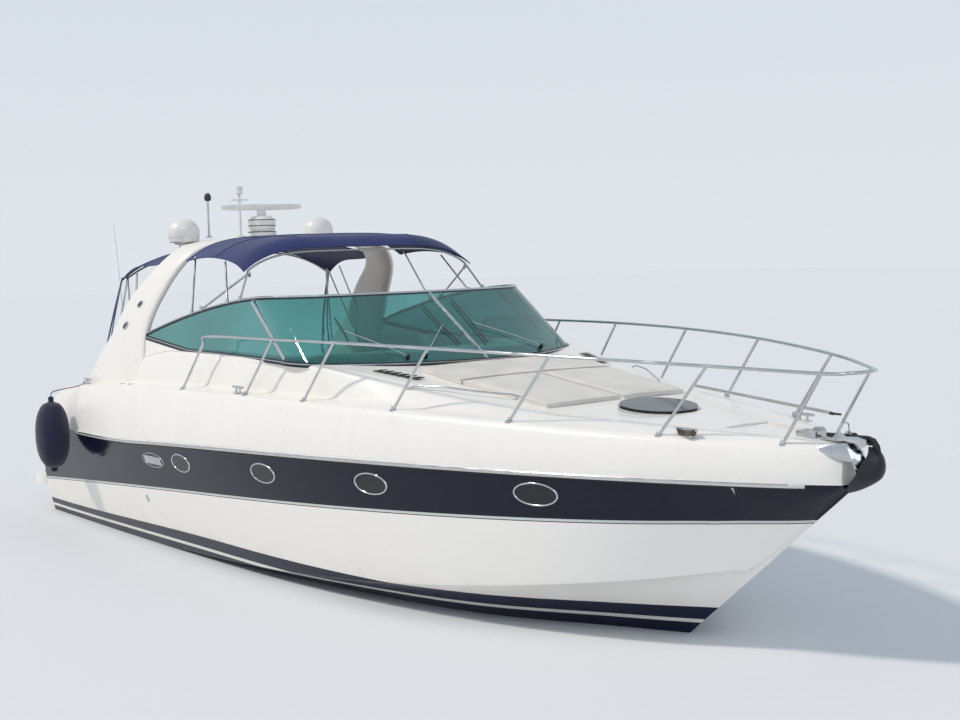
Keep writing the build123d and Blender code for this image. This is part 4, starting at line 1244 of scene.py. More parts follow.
def pad(name, outline, thickness, rows=22, columns=22, crown=0.008):
    """Foam pad lying on the foredeck over a four-cornered outline, with full rolled edges."""
    (ax, ay), (bx, by), (cx, cy), (dx, dy) = outline
    top, low = [], []
    for i in range(rows + 1):
        u = i / rows
        top_row, low_row = [], []
        for j in range(columns + 1):
            v = j / columns
            x = (ax * (1 - v) + dx * v) * (1 - u) + (bx * (1 - v) + cx * v) * u
            y = (ay * (1 - v) + dy * v) * (1 - u) + (by * (1 - v) + cy * v) * u
            edge = min(u, 1 - u, v, 1 - v) * 2
            size = min(abs(dx - ax), abs(by - ay))
            round_off = min(edge * size / 2 / 0.03, 1.0)
            height = thickness * (0.62 + 0.38 * math.sqrt(1 - (1 - round_off) ** 2))
            height += crown * math.sin(math.pi * u) * math.sin(math.pi * v)
            base = deck_surface(x, y)
            top_row.append((x, y, base + height))
            low_row.append((x, y, base - 0.004))
        top.append(top_row)
        low.append(low_row)
    count = columns + 1
    points = [p for row in top for p in row] + [p for row in low for p in row]
    faces = grid_faces(rows + 1, count)
    shift = (rows + 1) * count
    faces += [tuple(shift + k for k in face[::-1]) for face in grid_faces(rows + 1, count)]
    rim = [j for j in range(count)] + [i * count + columns for i in range(1, rows + 1)]
    rim += [rows * count + j for j in range(columns - 1, -1, -1)]
    rim += [i * count for i in range(rows - 1, 0, -1)]
    for a, b in zip(rim, rim[1:] + rim[:1]):
        faces.append((b, a, shift + a, shift + b))
    obj = mesh_object(name, points, faces, MATERIALS["sunpad"], 60)
    piping = [Vector(points[k]) + Vector((0, 0, 0.001)) for k in rim]
    return obj, piping


class CRUISER_OT_sunpads(bpy.types.Operator):
    """Lay the foredeck sunpads and their head wedge, piped and seamed"""

    bl_idname = "cruiser.sunpads"
    bl_label = "Sunpads"

    def execute(self, context):
        table = {
            # corners run aft inboard, aft outboard, fore outboard, fore inboard
            "sunpad_starboard": ([(2.262, -0.022), (2.262, -0.878), (3.358, -0.798), (3.418, -0.022)], 0.046),
            "sunpad_port": ([(2.262, 0.022), (2.262, 0.878), (3.358, 0.798), (3.418, 0.022)], 0.046),
            "sunpad_head": ([(1.642, -0.896), (2.238, -0.886), (2.238, 0.886), (1.642, 0.896)], 0.062),
        }
        for name, (outline, thickness) in table.items():
            obj, rim = pad(name + "_foam", outline, thickness)
            settle(obj, "boat", "beige_vinyl", name)
            tubes(name + "_piping", [rim], 0.009, MATERIALS["sunpad"], closed=True, slot="beige_vinyl")
        return done()


def stuffed(name, low, high, material, stands_for, radius=0.045, cap=0.016, frames=20):
    """Cushion blown up from its foam block by cloth simulation, by cap at most, and piped round its edges."""
    low, high = Vector(low), Vector(high)
    shrink = Vector((0.012, 0.012, 0.012))
    obj = soft_box(name, low + shrink, high - shrink, material, radius, 4)
    remesh = obj.modifiers.new("voxels", "REMESH")
    remesh.mode = "VOXEL"
    remesh.voxel_size = 0.022
    apply_modifiers(obj)
    rest = [v.co.copy() for v in obj.data.vertices]
    cloth = obj.modifiers.new("stuffing", "CLOTH")
    cloth.settings.use_pressure = True
    cloth.settings.uniform_pressure_force = 4.0
    cloth.settings.effector_weights.gravity = 0.0
    cloth.settings.quality = 4
    cloth.point_cache.frame_start = 1
    cloth.point_cache.frame_end = frames
    for step in range(1, frames + 1):
        bpy.context.scene.frame_set(step)
    apply_modifiers(obj)
    bpy.context.scene.frame_set(1)
    for vertex, was in zip(obj.data.vertices, rest):
        move = vertex.co - was
        if move.length > cap:
            vertex.co = was + move.normalized() * cap
        if vertex.co.z < low.z:
            vertex.co.z = low.z
    sub = obj.modifiers.new("skin", "SUBSURF")
    sub.levels = sub.render_levels = 1
    apply_modifiers(obj)
    smooth(obj.data)
    settle(obj, "boat", "white_vinyl", *stands_for)
    inset = radius * 0.55
    rim = []
    x0, x1, y0, y1 = low.x + inset, high.x - inset, low.y + inset, high.y - inset
    for cx, cy, start in ((x1 - radius, y1 - radius, 0), (x0 + radius, y1 - radius, 90),
                          (x0 + radius, y0 + radius, 180), (x1 - radius, y0 + radius, 270)):
        for k in range(7):
            a = math.radians(start + 15 * k)
            rim.append((cx + radius * math.cos(a), cy + radius * math.sin(a), high.z - 0.009))
    tubes(name + "_piping", [rim], 0.008, material, closed=True, slot="white_vinyl")


class CRUISER_OT_upholstery(bpy.types.Operator):
    """Stuff the helm and cockpit cushions"""

    bl_idname = "cruiser.upholstery"
    bl_label = "Cockpit cushions"

    def execute(self, context):
        vinyl = MATERIALS["cushion"]
        low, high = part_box("helm_cushion")
        stuffed("helm_seat_cushion", (-1.498, low.y + 0.002, low.z), (high.x, high.y - 0.002, 1.622), vinyl,
                ("helm_cushion",))
        stuffed("helm_back_cushion", (low.x, low.y + 0.002, 1.626), (-1.44, high.y - 0.002, high.z), vinyl,
                (), radius=0.04)
        low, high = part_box("cockpit_cushions")
        stuffed("cockpit_side_cushion", (-4.778, -1.348, low.z), (-2.762, -0.892, high.z), vinyl,
                ("cockpit_cushions",))
        stuffed("cockpit_aft_cushion", (-4.778, -0.878, low.z), (-4.322, 0.628, high.z), vinyl, ())
        return done()


class CRUISER_OT_aerials(bpy.types.Operator):
    """Mould the domes, the radar bar, the light mast's lamp and the aerials on the arch"""

    bl_idname = "cruiser.aerials"
    bl_label = "Arch aerials"

    def execute(self, context):
        white, black, steel = MATERIALS["abs"], MATERIALS["black"], MATERIALS["steel"]
        r = DOME_RADIUS
        profile = [(r * 0.55, -0.08), (r * 0.58, -0.075), (r * 0.60, -0.058), (r * 0.88, -0.054),
                   (r * 0.95, -0.045), (r * 0.965, -0.02), (r * 0.965, -0.004), (r * 0.95, -0.002),
                   (r * 0.95, 0.003), (r * 0.98, 0.005), (r, 0.03), (r, 0.065)]
        for k in range(1, 15):
            a = math.pi / 2 * k / 14
            profile.append((max(r * math.cos(a), 0.001), 0.065 + 0.163 * math.sin(a)))
        x, y, z = DOME_AT
        for name, side in (("starboard", -1), ("port", 1)):
            dome = turned("dome_" + name, profile, (x, side * y, z), white, steps=72, crease=24)
            settle(dome, "boat", "dome_plastic", "satellite_dome_" + name)
        bar = radar_bar()
        settle(bar, "radar_scanner", "dome_plastic", "radar_scanner")
        fit = []
        for z, radius in ((3.545, 0.172), (3.62, 0.168), (3.69, 0.166)):
            band = [(radius - 0.004, z), (radius + 0.002, z + 0.002), (radius + 0.002, z + 0.008),
                    (radius - 0.004, z + 0.01)]
            fit.append(turned("band", band, RADAR_AT, black, steps=48))
        settle(merge("radar_pedestal_bands", fit), "boat", "dark_fitting")
        case = [(0.044, 4.035), (0.046, 4.04), (0.046, 4.052), (0.03, 4.056), (0.03, 4.10), (0.046, 4.104),
                (0.046, 4.118), (0.02, 4.124)]
        lens = [(0.031, 4.057), (0.036, 4.062), (0.036, 4.094), (0.031, 4.099)]
        light = [turned("lamp", case, MAST_AT, white, steps=32),
                 turned("lens", lens, MAST_AT, MATERIALS["glass"], steps=32)]
        settle(merge("anchor_light", light), "boat", "dome_plastic")
        x, y, z = POLE_AT
        pole = tubes("aerial_pole_tube", [[(x, y, 3.5), (x, y, 3.95)]], 0.026, steel,
                     slot="polished_stainless")
        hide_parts("aerial_pole")
        top = [(0.018, 3.94), (0.038, 3.95), (0.041, 3.97), (0.041, 4.0), (0.032, 4.02), (0.012, 4.034)]
        foot = [(0.048, 3.5), (0.048, 3.506), (0.03, 3.512), (0.016, 3.53)]
        cap = [(0.02, 4.03), (0.03, 4.034), (0.028, 4.044), (0.01, 4.05)]
        head = [turned("head", top, POLE_AT, MATERIALS["galvanised"], steps=32),
                turned("foot", foot, POLE_AT, steel, steps=32),
                turned("cap", cap, POLE_AT, white, steps=32)]
        settle(merge("aerial_pole_head", head), "boat", "dark_fitting")
        whip = [(-4.16, -1.35, 2.02), (-4.22, -1.36, 2.9), (-4.30, -1.38, 3.7)]
        tubes("whip_aerial", [whip], 0.009, white, slot="dome_plastic")
        sleeve = [(0.022, 1.86), (0.022, 1.9), (0.013, 1.93), (0.011, 2.1), (0.006, 2.12)]
        ferrule = turned("whip_ferrule", sleeve, (-4.15, -1.35, 0), steel, axis=(0, 0, 1), steps=24)
        settle(ferrule, "boat", "polished_stainless")
        return done()


def radar_bar():
    """Open array: a bar with a flat face and tapered tips on its turning neck."""
    rings = []
    turn = Matrix.Rotation(math.radians(BAR_TURN), 4, "Z")
    centre = Vector(RADAR_AT) + Vector((0, 0, BAR_HEIGHT))
    for k in range(33):
        v = -1 + 2 * k / 32
        taper = 1 - 0.35 * abs(v) ** 6
        half_x, half_z = 0.055 * taper, 0.038 * taper
        ring = []
        for x, z in ellipse(1, 1, 24):
            px = math.copysign(abs(x) ** 0.45, x) * half_x
            pz = math.copysign(abs(z) ** 0.45, z) * half_z
            ring.append(turn @ Vector((px, v * BAR_HALF, pz)) + centre)
        rings.append(ring)
    bar = skin("bar", rings, MATERIALS["abs"], crease=40)
    profile = [(0.060, 3.806), (0.062, 3.812), (0.056, 3.822), (0.044, 3.836)]
    neck = turned("neck", profile, RADAR_AT, MATERIALS["abs"], steps=40)
    return merge("radar_bar", [bar, neck])


ARCH_ROWS = [
    # half-breadth and height of the middle, aft edge, fore edge, thickness
    (1.630, 1.62, -4.86, -2.98, 0.15),
    (1.640, 1.85, -4.56, -2.97, 0.145),
    (1.630, 2.12, -4.24, -2.965, 0.14),
    (1.605, 2.40, -3.86, -2.93, 0.13),
    (1.570, 2.66, -3.62, -2.78, 0.12),
    (1.515, 2.90, -3.34, -2.585, 0.115),
    (1.450, 3.09, -3.05, -2.43, 0.11),
    (1.355, 3.235, -2.89, -2.34, 0.10),
    (1.230, 3.335, -2.85, -2.29, 0.09),
    (1.060, 3.395, -2.85, -2.28, 0.085),
    (0.800, 3.425, -2.85, -2.28, 0.085),
    (0.400, 3.445, -2.85, -2.28, 0.085),
]
WING_HALF, WING_AT, WING_TOP, WING_DROOP = 1.06, -2.96, 3.5, 0.085


class CRUISER_OT_arch(bpy.types.Operator):
    """Mould the raked arch in one sweep from leg to leg, and the drooping wing on top of it"""

    bl_idname = "cruiser.arch"
    bl_label = "Arch"

    def execute(self, context):
        spread = [smooth_path([(row[0], row[1], 0) for row in ARCH_ROWS], 5),
                  smooth_path([(row[2], row[3], row[4]) for row in ARCH_ROWS], 5)]
        half = list(zip(*spread))
        path = [(Vector((0, -p.x, p.y)), q) for p, q in half] + [
            (Vector((0, p.x, p.y)), q) for p, q in reversed(half)]
        rings = []
        for k, (at, (aft, fore, thick)) in enumerate(path):
            before, after = path[max(k - 1, 0)][0], path[min(k + 1, len(path) - 1)][0]
            run = (after - before).normalized()
            out = Vector((0, -run.z, run.y))
            middle, reach = (aft + fore) / 2, (fore - aft) / 2
            ring = []
            for x, y in ellipse(1, 1, 40):
                wide = math.copysign(abs(x) ** 0.32, x) * reach
                deep = math.copysign(abs(y) ** 0.62, y) * thick / 2 * (1 - 0.25 * abs(wide / reach) ** 4)
                ring.append(at + Vector((middle + wide, 0, 0)) + out * deep)
            rings.append(ring)
        leg = skin("leg", rings, MATERIALS["deck"], crease=60)
        rows = []
        for k in range(49):
            v = -1 + 2 * k / 48
            y = WING_HALF * v
            blunt = (1 - abs(v) ** 5) ** 0.5 if abs(v) < 1 else 0.0
            aft, fore = WING_AT - 0.74 * blunt * (1 - 0.12 * v * v), WING_AT + 0.56 * blunt
            top = WING_TOP - WING_DROOP * v * v
            thick = 0.055 * max(blunt, 0.05) ** 0.4
            ring = []
            for px, pz in ellipse(1, 1, 32):
                wide = math.copysign(abs(px) ** 0.4, px) * (fore - aft + 0.002) / 2
                deep = math.copysign(abs(pz) ** 0.7, pz) * thick / 2
                ring.append(Vector(((aft + fore) / 2 + wide, y, top - 0.0275 + deep)))
            rows.append(ring)
        wing = skin("wing", rows, MATERIALS["deck"], crease=60)
        settle(merge("arch_moulding", [leg, wing]), "boat", "white_gelcoat", "radar_arch")
        return done()


ARCH_LAMPS = [
    # station, breadth, height, and lean in degrees
    (-3.07, 1.612, 2.747, 66),
    (-3.41, 1.660, 2.498, 60),
]


class CRUISER_OT_arch_fittings(bpy.types.Operator):
    """Set the oval lamps with their rims into the legs of the arch"""

    bl_idname = "cruiser.arch_fittings"
    bl_label = "Arch fittings"

    def execute(self, context):
        parts = []
        for side in (-1, 1):
            for x, y, z, lean in ARCH_LAMPS:
                plane = Matrix.Translation((x, side * y, z))
                plane = plane @ Matrix.Rotation(side * math.radians(12), 4, "X")
                plane = plane @ Matrix.Rotation(math.radians(lean), 4, "Y")
                plane = plane @ Matrix.Rotation(math.radians(-90 * side), 4, "X")
                parts.append(oval_rim(plane, 0.036, 0.075, 0.012, 0.012))
                parts.append(plate("lens", ellipse(0.026, 0.064, 32), 0.006, plane, MATERIALS["dial"]))
        settle(merge("arch_lamps", parts), "boat", "polished_stainless")
        return done()


class CRUISER_OT_deck_fittings(bpy.types.Operator):
    """Fit the coachroof handrails, louvred vents and filler caps"""

    bl_idname = "cruiser.deck_fittings"
    bl_label = "Deck fittings"

    def execute(self, context):
        steel, black = MATERIALS["steel"], MATERIALS["black"]
        grips = []
        for side in (-1, 1):
            points = []
            for k in range(9):
                x, y = 2.0 + 1.12 * k / 8, -1.37 + 0.62 * k / 8 - 0.05 * math.sin(math.pi * k / 8)
                lift = 0.042 if 0 < k < 8 else 0.0
                half, height = roof_edge(x)
                beyond = max(-y - half, 0.0)
                run = deck_half(x) * 0.89 - half
                on_side = height - (height - deck_height(x) - 0.018) * beyond / run
                base = on_side if beyond else deck_surface(x, y)
                points.append((x, side * -y, base + lift))
            grips.append(smooth_path(points, 6))
        tubes("coachroof_handrails", grips, 0.018, steel, slot="polished_stainless")
        vents = []
        for side in (-1, 1):
            for k in range(6):
                x = 1.42 + 0.085 * k
                y = 1.30 - 0.30 * (x - 1.42)
                corners = [(x, y), (x + 0.07, y - 0.02), (x + 0.07, y - 0.115), (x, y - 0.095)]
                ring = [(cx, side * cy, deck_surface(cx, cy) + 0.002 + 0.010 * (cx - x) / 0.07)
                        for cx, cy in corners]
                vents.append(skin("slat", [ring, [(p[0], p[1], p[2] + 0.008) for p in ring]], black))
        settle(merge("coachroof_louvres", vents), "boat", "dark_fitting")
        caps = []
        profile = [(0.042, 0.0), (0.042, 0.004), (0.036, 0.008), (0.03, 0.007), (0.006, 0.008)]
        for x in (-3.3, -3.05):
            y = deck_half(x) * 0.93
            for side in (-1, 1):
                at = (x, side * y, deck_height(x) + 0.008)
                caps.append(turned("cap", profile, at, steel, steps=32))
        settle(merge("deck_filler_caps", caps), "boat", "polished_stainless")
        return done()


class CRUISER_OT_ropes(bpy.types.Operator):
    """Wind the short lashing that stays on the starboard fore cleat"""

    bl_idname = "cruiser.ropes"
    bl_label = "Cleat lashings"

    def execute(self, context):
        x, share = 4.90, 0.93
        base = Vector((x, -deck_half(x) * share, deck_height(x) + 0.030))
        turns = []
        for row in range(3):
            loop = []
            for k in range(28):
                a = 2 * math.pi * k / 28
                reach = 0.062 + 0.006 * row
                breadth = 0.030 * math.sin(2 * a) + 0.012 * math.sin(a)
                rise = 0.014 * row + 0.008 * math.cos(2 * a)
                loop.append(base + Vector((reach * math.cos(a) * 1.2, breadth, rise)))
            turns.append(loop)
        tubes("cleat_lashing_starboard", turns, 0.016, MATERIALS["rope"], closed=True, slot="fender_cover")
        return done()


def screen_sizes(z):
    """Half-breadth of the windscreen at a height, and the stations of its corner and its front."""
    u = (z - 2.18) / 0.69
    return 1.65 - 0.11 * u, 0.86 - 0.83 * u, 1.49 - 1.06 * u


def screen_plan(z, steps=14):
    """Plan of the windscreen's outer face at a height, from the starboard tip round the bow to port."""
    half, corner, front = screen_sizes(z)
    turn, start = half * 0.8, corner - 0.5
    side = [(SCREEN_TIP + (start - SCREEN_TIP) * k / (2 * steps), -half) for k in range(2 * steps)]
    round_corner = arc_through((start, -half), (corner - 0.06, -half * 0.965), (corner + 0.19, -turn), steps)
    brow = arc_through((corner + 0.19, -turn), (front, 0), (corner + 0.19, turn), 2 * steps)
    one = side + round_corner + brow[1:steps + 1]
    return one + [(x, -y) for x, y in reversed(one[:-1])]


def screen_foot(x):
    if x < -1.78:
        return 2.262 + 0.113 * (-1.78 - x) / 1.15
    return 2.262 - 0.02 * (x + 1.78) / 1.58 if x < -0.2 else 2.242 - 0.052 * (x + 0.2) / 1.9


def screen_head(x):
    return 2.85 - 0.44 * (max(-0.1 - x, 0) / 2.83) ** 1.62


def screen_edge(height_at):
    """Path of an edge of the screen on its outer face, level with the given heights."""
    count = len(screen_plan(2.5))
    heights = [2.5] * count
    for _ in range(5):
        heights = [height_at(screen_plan(z)[k][0]) for k, z in enumerate(heights)]
    return [Vector((*screen_plan(z)[k], z)) for k, z in enumerate(heights)]


def outboard(path, k):
    """Level direction square off a path that runs round the screen from starboard to port."""
    run = path[min(k + 1, len(path) - 1)] - path[max(k - 1, 0)]
    return Vector((run.y, -run.x, 0)).normalized()


def edge_strip(name, path, profile, material):
    """Extrusion along a path round the screen. Profile rows are distance outboard and height."""
    rings = []
    for k, at in enumerate(path):
        out = outboard(path, k)
        rings.append([at + out * o + Vector((0, 0, up)) for o, up in profile])
    return skin(name, rings, material, crease=35)


def flat_bar(a, b, wide, thick, out, material):
    """Rounded flat bar from a to b, its broad face turned outboard."""
    run = (b - a).normalized()
    across = out.cross(run).normalized() * wide / 2
    deep = run.cross(across).normalized() * thick / 2
    corners = [(1, 0.5), (0.85, 1), (-0.85, 1), (-1, 0.5), (-1, -0.5), (-0.85, -1), (0.85, -1), (1, -0.5)]
    rings = [[p + across * i + deep * j for i, j in corners] for p in (a, b)]
    return skin("bar", rings, material, crease=30)


def plinth(path):
    """Moulded foot of the screen, from under its lower edge down into the deck."""
    rings = []
    for k, at in enumerate(path):
        out = outboard(path, k)
        high, low = at.z - 0.030, min(deck_surface(at.x, at.y) - 0.012, at.z - 0.036)
        section = [(-0.020, high), (0.008, high), (0.014, (high + low) / 2), (0.028, low), (-0.020, low)]
        rings.append([Vector((*(at + out * o).xy, z)) for o, z in section])
    return skin("plinth", rings, MATERIALS["deck"], crease=50)


class CRUISER_OT_windscreen(bpy.types.Operator):
    """Run the windscreen's head and foot extrusions, their bright cover strips and the mullions"""

    bl_idname = "cruiser.windscreen"
    bl_label = "Windscreen frame"

    def execute(self, context):
        dark, steel = MATERIALS["extrusion"], MATERIALS["steel"]
        head, foot = screen_edge(screen_head), screen_edge(screen_foot)
        head_profile = [(-0.018, -0.026), (0.008, -0.026), (0.010, -0.020), (0.010, -0.002), (0.004, 0.008),
                        (-0.012, 0.010), (-0.018, 0.004)]
        foot_profile = [(-0.018, -0.034), (0.012, -0.034), (0.012, 0.006), (0.008, 0.014), (-0.018, 0.016)]
        # The extrusions' dark grey is a painted reflection of the dark sea in their polished steel
        parts = [edge_strip("head", head, head_profile, dark), edge_strip("foot", foot, foot_profile, dark)]
        settle(merge("windscreen_extrusions", parts), "boat", "polished_stainless", "windscreen_frame")
        settle(merge("windscreen_plinth", [plinth(foot)]), "boat", "white_gelcoat")
        bright = [(0.006, -0.004), (0.013, -0.004), (0.014, 0.002), (0.010, 0.010), (-0.002, 0.014),
                  (-0.006, 0.010)]
        low = [(0.010, -0.004), (0.015, -0.004), (0.015, 0.004), (0.010, 0.006)]
        strips = [edge_strip("cover", head, bright, steel), edge_strip("cover", foot, low, steel)]
        for side in (-1, 1):
            base, tip = Vector((0.38, side * 1.648, 2.255)), Vector((-0.42, side * 1.560, 2.800))
            strips.append(flat_bar(base, tip, 0.046, 0.022, Vector((0, side, 0.16)), steel))
        top, low_point = head[len(head) // 2], foot[len(foot) // 2]
        strips.append(flat_bar(low_point, top, 0.026, 0.022, Vector((0.55, 0, 0.84)), steel))
        settle(merge("windscreen_bright_trim", strips), "boat", "polished_stainless")
        return done()


class CRUISER_OT_wipers(bpy.types.Operator):
    """Mount the three wipers on the foot of the windscreen"""

    bl_idname = "cruiser.wipers"
    bl_label = "Wipers"

    def execute(self, context):
        arms, blades, bosses = [], [], []
        for points in WIPERS:
            arm, blade, boss = wiper(*points)
            arms += arm
            blades += blade
            bosses.append(boss)
        tubes("wiper_arms", arms, 0.011, MATERIALS["steel"], slot="polished_stainless")
        tubes("wiper_blades", blades, 0.014, MATERIALS["black"], slot="dark_fitting")
        settle(merge("wiper_bosses", bosses), "boat", "dark_fitting")
        return done()


def screen_front(y, z):
    """Station of the windscreen's outer face at a breadth and height, in its bowed front."""
    half, corner, front = screen_sizes(z)
    turn = half * 0.8
    return front - (front - corner - 0.19) * (y / turn) ** 2


WIPERS = [
    # breadth and height of the foot, the arm's head, and the blade's lower and upper end
    ((-0.80, 2.25), (-1.19, 2.50), (-1.215, 2.37), (-1.185, 2.63)),
    ((-0.63, 2.25), (-0.215, 2.51), (-0.182, 2.34), (-0.225, 2.70)),
    ((0.85, 2.25), (0.165, 2.52), (0.140, 2.335), (0.175, 2.755)),
]


def wiper(foot, head, low, high):
    """Arm and blade lying just off the glass."""
    def on_glass(point, out):
        y, z = point
        return Vector((screen_front(y, z) + out, y, z + out * 0.5))

    base, tip = on_glass(foot, 0.03), on_glass(head, 0.035)
    elbow = base.lerp(tip, 0.3) + Vector((0.012, 0, 0.012))
    profile = [(0.020, -0.03), (0.022, 0.0), (0.018, 0.016), (0.010, 0.024)]
    boss = turned("boss", profile, base, MATERIALS["black"], axis=(0.6, 0, 0.8), steps=24)
    blade = [on_glass(low, 0.02), on_glass(head, 0.022), on_glass(high, 0.02)]
    return [[base, elbow, tip]], [blade], boss


class CRUISER_OT_helm(bpy.types.Operator):
    """Trim the helm: wheel, instruments, switch panel and throttles"""

    bl_idname = "cruiser.helm"
    bl_label = "Helm"

    def execute(self, context):
        leather, steel, dial = MATERIALS["leather"], MATERIALS["steel"], MATERIALS["dial"]
        tilt = math.radians(WHEEL_TILT)
        axis = Vector((-math.cos(tilt), 0, math.sin(tilt)))
        up = Vector((math.sin(tilt), 0, math.cos(tilt)))
        side = Vector((0, 1, 0))
        hub = Vector(WHEEL_HUB)
        centre = hub + axis * 0.095
        ring = []
        for k in range(64):
            a = 2 * math.pi * k / 64
            ring.append(centre + side * WHEEL_RADIUS * math.cos(a) + up * WHEEL_RADIUS * math.sin(a))
        rim = tubes("wheel_rim_leather", [ring], 0.03, leather, "helm_wheel", closed=True,
                    slot="leather_black")
        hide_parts("helm_wheel")
        spokes = []
        for turn in (90, 210, 330):
            a = math.radians(turn)
            way = side * math.cos(a) + up * math.sin(a)
            inner, middle = centre - axis * 0.03 + way * 0.03, centre - axis * 0.008 + way * 0.11
            spokes.append([inner, middle, centre + way * 0.183])
        tubes("wheel_spokes", spokes, 0.018, steel, "helm_wheel", slot="polished_stainless")
        profile = [(0.02, -0.055), (0.038, -0.05), (0.040, 0.04), (0.036, 0.062), (0.02, 0.072),
                   (0.004, 0.075)]
        boss = turned("wheel_boss", profile, hub + axis * 0.02, leather, axis=axis, steps=40)
        settle(boss, "helm_wheel", "leather_black")
        slope = Vector((0.41, 0, 0.22)).normalized()
        normal = Vector((-slope.z, 0, slope.x))
        parts = []
        bezel = [(0.060, 0.0), (0.062, 0.008), (0.056, 0.012), (0.052, 0.008), (0.002, 0.008)]
        for k in range(4):
            for row, finish in enumerate((MATERIALS["black"], dial)):
                at = Vector((-0.16, -0.43 - 0.17 * k, 2.014)) + slope * 0.14 * row + normal * 0.001
                parts.append(turned("dial", bezel, at, finish, axis=normal, steps=36))
        plane = Matrix((slope, side, normal)).transposed().to_4x4()
        plane.translation = Vector((-0.10, -1.22, 2.05))
        screen = [(-0.10, -0.12), (0.12, -0.12), (0.12, 0.14), (-0.10, 0.14)]
        parts.append(plate("plotter", screen, 0.02, plane, dial))
        switch = [(-0.012, -0.01), (0.012, -0.01), (0.012, 0.01), (-0.012, 0.01)]
        for k in range(8):
            plane.translation = Vector((-0.2, -0.18 - 0.03 * k, 1.995))
            parts.append(plate("switch", switch, 0.01, plane, MATERIALS["black"]))
        settle(merge("helm_instruments", parts), "boat", "dark_fitting")
        levers = [[(-0.12, y, 2.04), (-0.20, y, 2.13), (-0.23, y, 2.155)] for y in (-0.30, -0.35)]
        tubes("throttle_levers", levers, 0.016, steel, slot="polished_stainless")
        return done()


class CRUISER_OT_fender(bpy.types.Operator):
    """Hang the covered fender on its lanyard, and the boathook on the rail"""

    bl_idname = "cruiser.fender"
    bl_label = "Fender and boathook"

    def execute(self, context):
        x, y, z = FENDER_AT
        profile = []
        steps, half, radius = 36, FENDER_HALF, FENDER_RADIUS
        for k in range(steps + 1):
            t = k / steps
            h = -half + 2 * half * t
            swell = math.sqrt(max(1 - (abs(h) / half) ** 2.3, 0.0))
            profile.append((0.036 + (radius - 0.036) * swell, h))
        below = [(0.012, -half - 0.055), (0.03, -half - 0.05), (0.042, -half - 0.03), (0.034, -half - 0.008)]
        above = [(0.030, half + 0.02), (0.034, half + 0.05), (0.022, half + 0.066), (0.010, half + 0.07)]
        profile = below + profile + above
        count, rings = 64, []
        for radius_at, h in profile:
            folds = max(0.0, (abs(h) - 0.30) / 0.12) if abs(h) < 0.47 else 0.0
            ring = []
            for k in range(count):
                a = 2 * math.pi * k / count
                reach = radius_at * (1 + 0.05 * math.cos(12 * a) * folds)
                ring.append((x + reach * math.cos(a), y + reach * math.sin(a), z + h))
            rings.append(ring)
        cover = skin("fender_cover_knit", rings, MATERIALS["knit"], crease=50)
        settle(cover, "boat", "fender_cover", "fender")
        seams = []
        for k in range(4):
            a = 2 * math.pi * (k + 0.5) / 4
            seams.append([(x + (r + 0.001) * math.cos(a), y + (r + 0.001) * math.sin(a), z + h)
                          for r, h in profile[4:-4]])
        tubes("fender_seams", seams, 0.005, MATERIALS["knit"], slot="fender_cover")
        lanyard = [(x, y, z + 0.46), (x + 0.03, y + 0.03, z + 0.53), (-4.43, -1.86, 1.745),
                   (-4.40, -1.80, 1.80)]
        tubes("fender_lanyard", [smooth_path(lanyard, 6)], 0.012, MATERIALS["rope"], slot="fender_cover")
        hook = tubes("boathook_pole", [[(3.3, 1.0, 1.96), (5.35, 0.48, 1.90)]], 0.028, MATERIALS["aluminium"],
                     slot="anodised_aluminium")
        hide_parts("boathook")
        tip = [(5.33, 0.485, 1.90), (5.42, 0.462, 1.898), (5.47, 0.45, 1.90)]
        claw = [(5.40, 0.467, 1.898), (5.415, 0.43, 1.90), (5.39, 0.41, 1.905)]
        tubes("boathook_end", [tip, smooth_path(claw, 5)], 0.018, MATERIALS["black"], slot="dark_fitting")
        return done()


class CRUISER_OT_stern(bpy.types.Operator):
    """Lay the teak inlay on the swim platform"""

    bl_idname = "cruiser.stern"
    bl_label = "Stern"

    def execute(self, context):
        outline = [(-6.46, -1.62), (-6.05, -1.70), (-6.05, 1.70), (-6.46, 1.62)]
        plane = Matrix.Translation((0, 0, 0.459))
        inlay = plate("platform_teak_inlay", outline, 0.006, plane, MATERIALS["teak"])
        settle(inlay, "boat", "teak_deck")
        return done()


class CRUISER_OT_stage(bpy.types.Operator):
    """Lay the pale floor at the waterline and set the studio light and the camera"""

    bl_idname = "cruiser.stage"
    bl_label = "Stage"

    def execute(self, context):
        scene = bpy.context.scene
        scene.view_settings.view_transform = "Standard"
        reach = 120
        corners = [(-reach, -reach, 0), (reach, -reach, 0), (reach, reach, 0), (-reach, reach, 0)]
        floor = mesh_object("floor", corners, [(0, 1, 2, 3)])
        mat, tree, shader, place = principled("matt_studio_floor", linear("#d5dadf"), 0.65)
        cloud = speckle(tree, place, 0.004, 2.0, 0.3, 0.7)
        colour = blend_colour(tree, cloud, linear("#dfe2e5"), linear("#e4e7ea"))
        tree.links.new(colour, shader.inputs["Base Color"])
        floor.data.materials.append(mat)
        studio_world(scene)
        sun("key", 1.9, (-0.42, -0.80, 0.95), 5, "#fff6e8")
        sun("front_fill", 0.5, (0.85, -0.30, 0.55), 40, "#eaf2ff")
        camera = bpy.data.cameras.new("photograph_view")
        camera.lens, camera.sensor_width, camera.clip_end = CAMERA_LENS, 36, 500
        view = bpy.data.objects.new("photograph_view", camera)
        scene.collection.objects.link(view)
        view.matrix_world = camera_matrix()
        scene.camera = view
        return done()


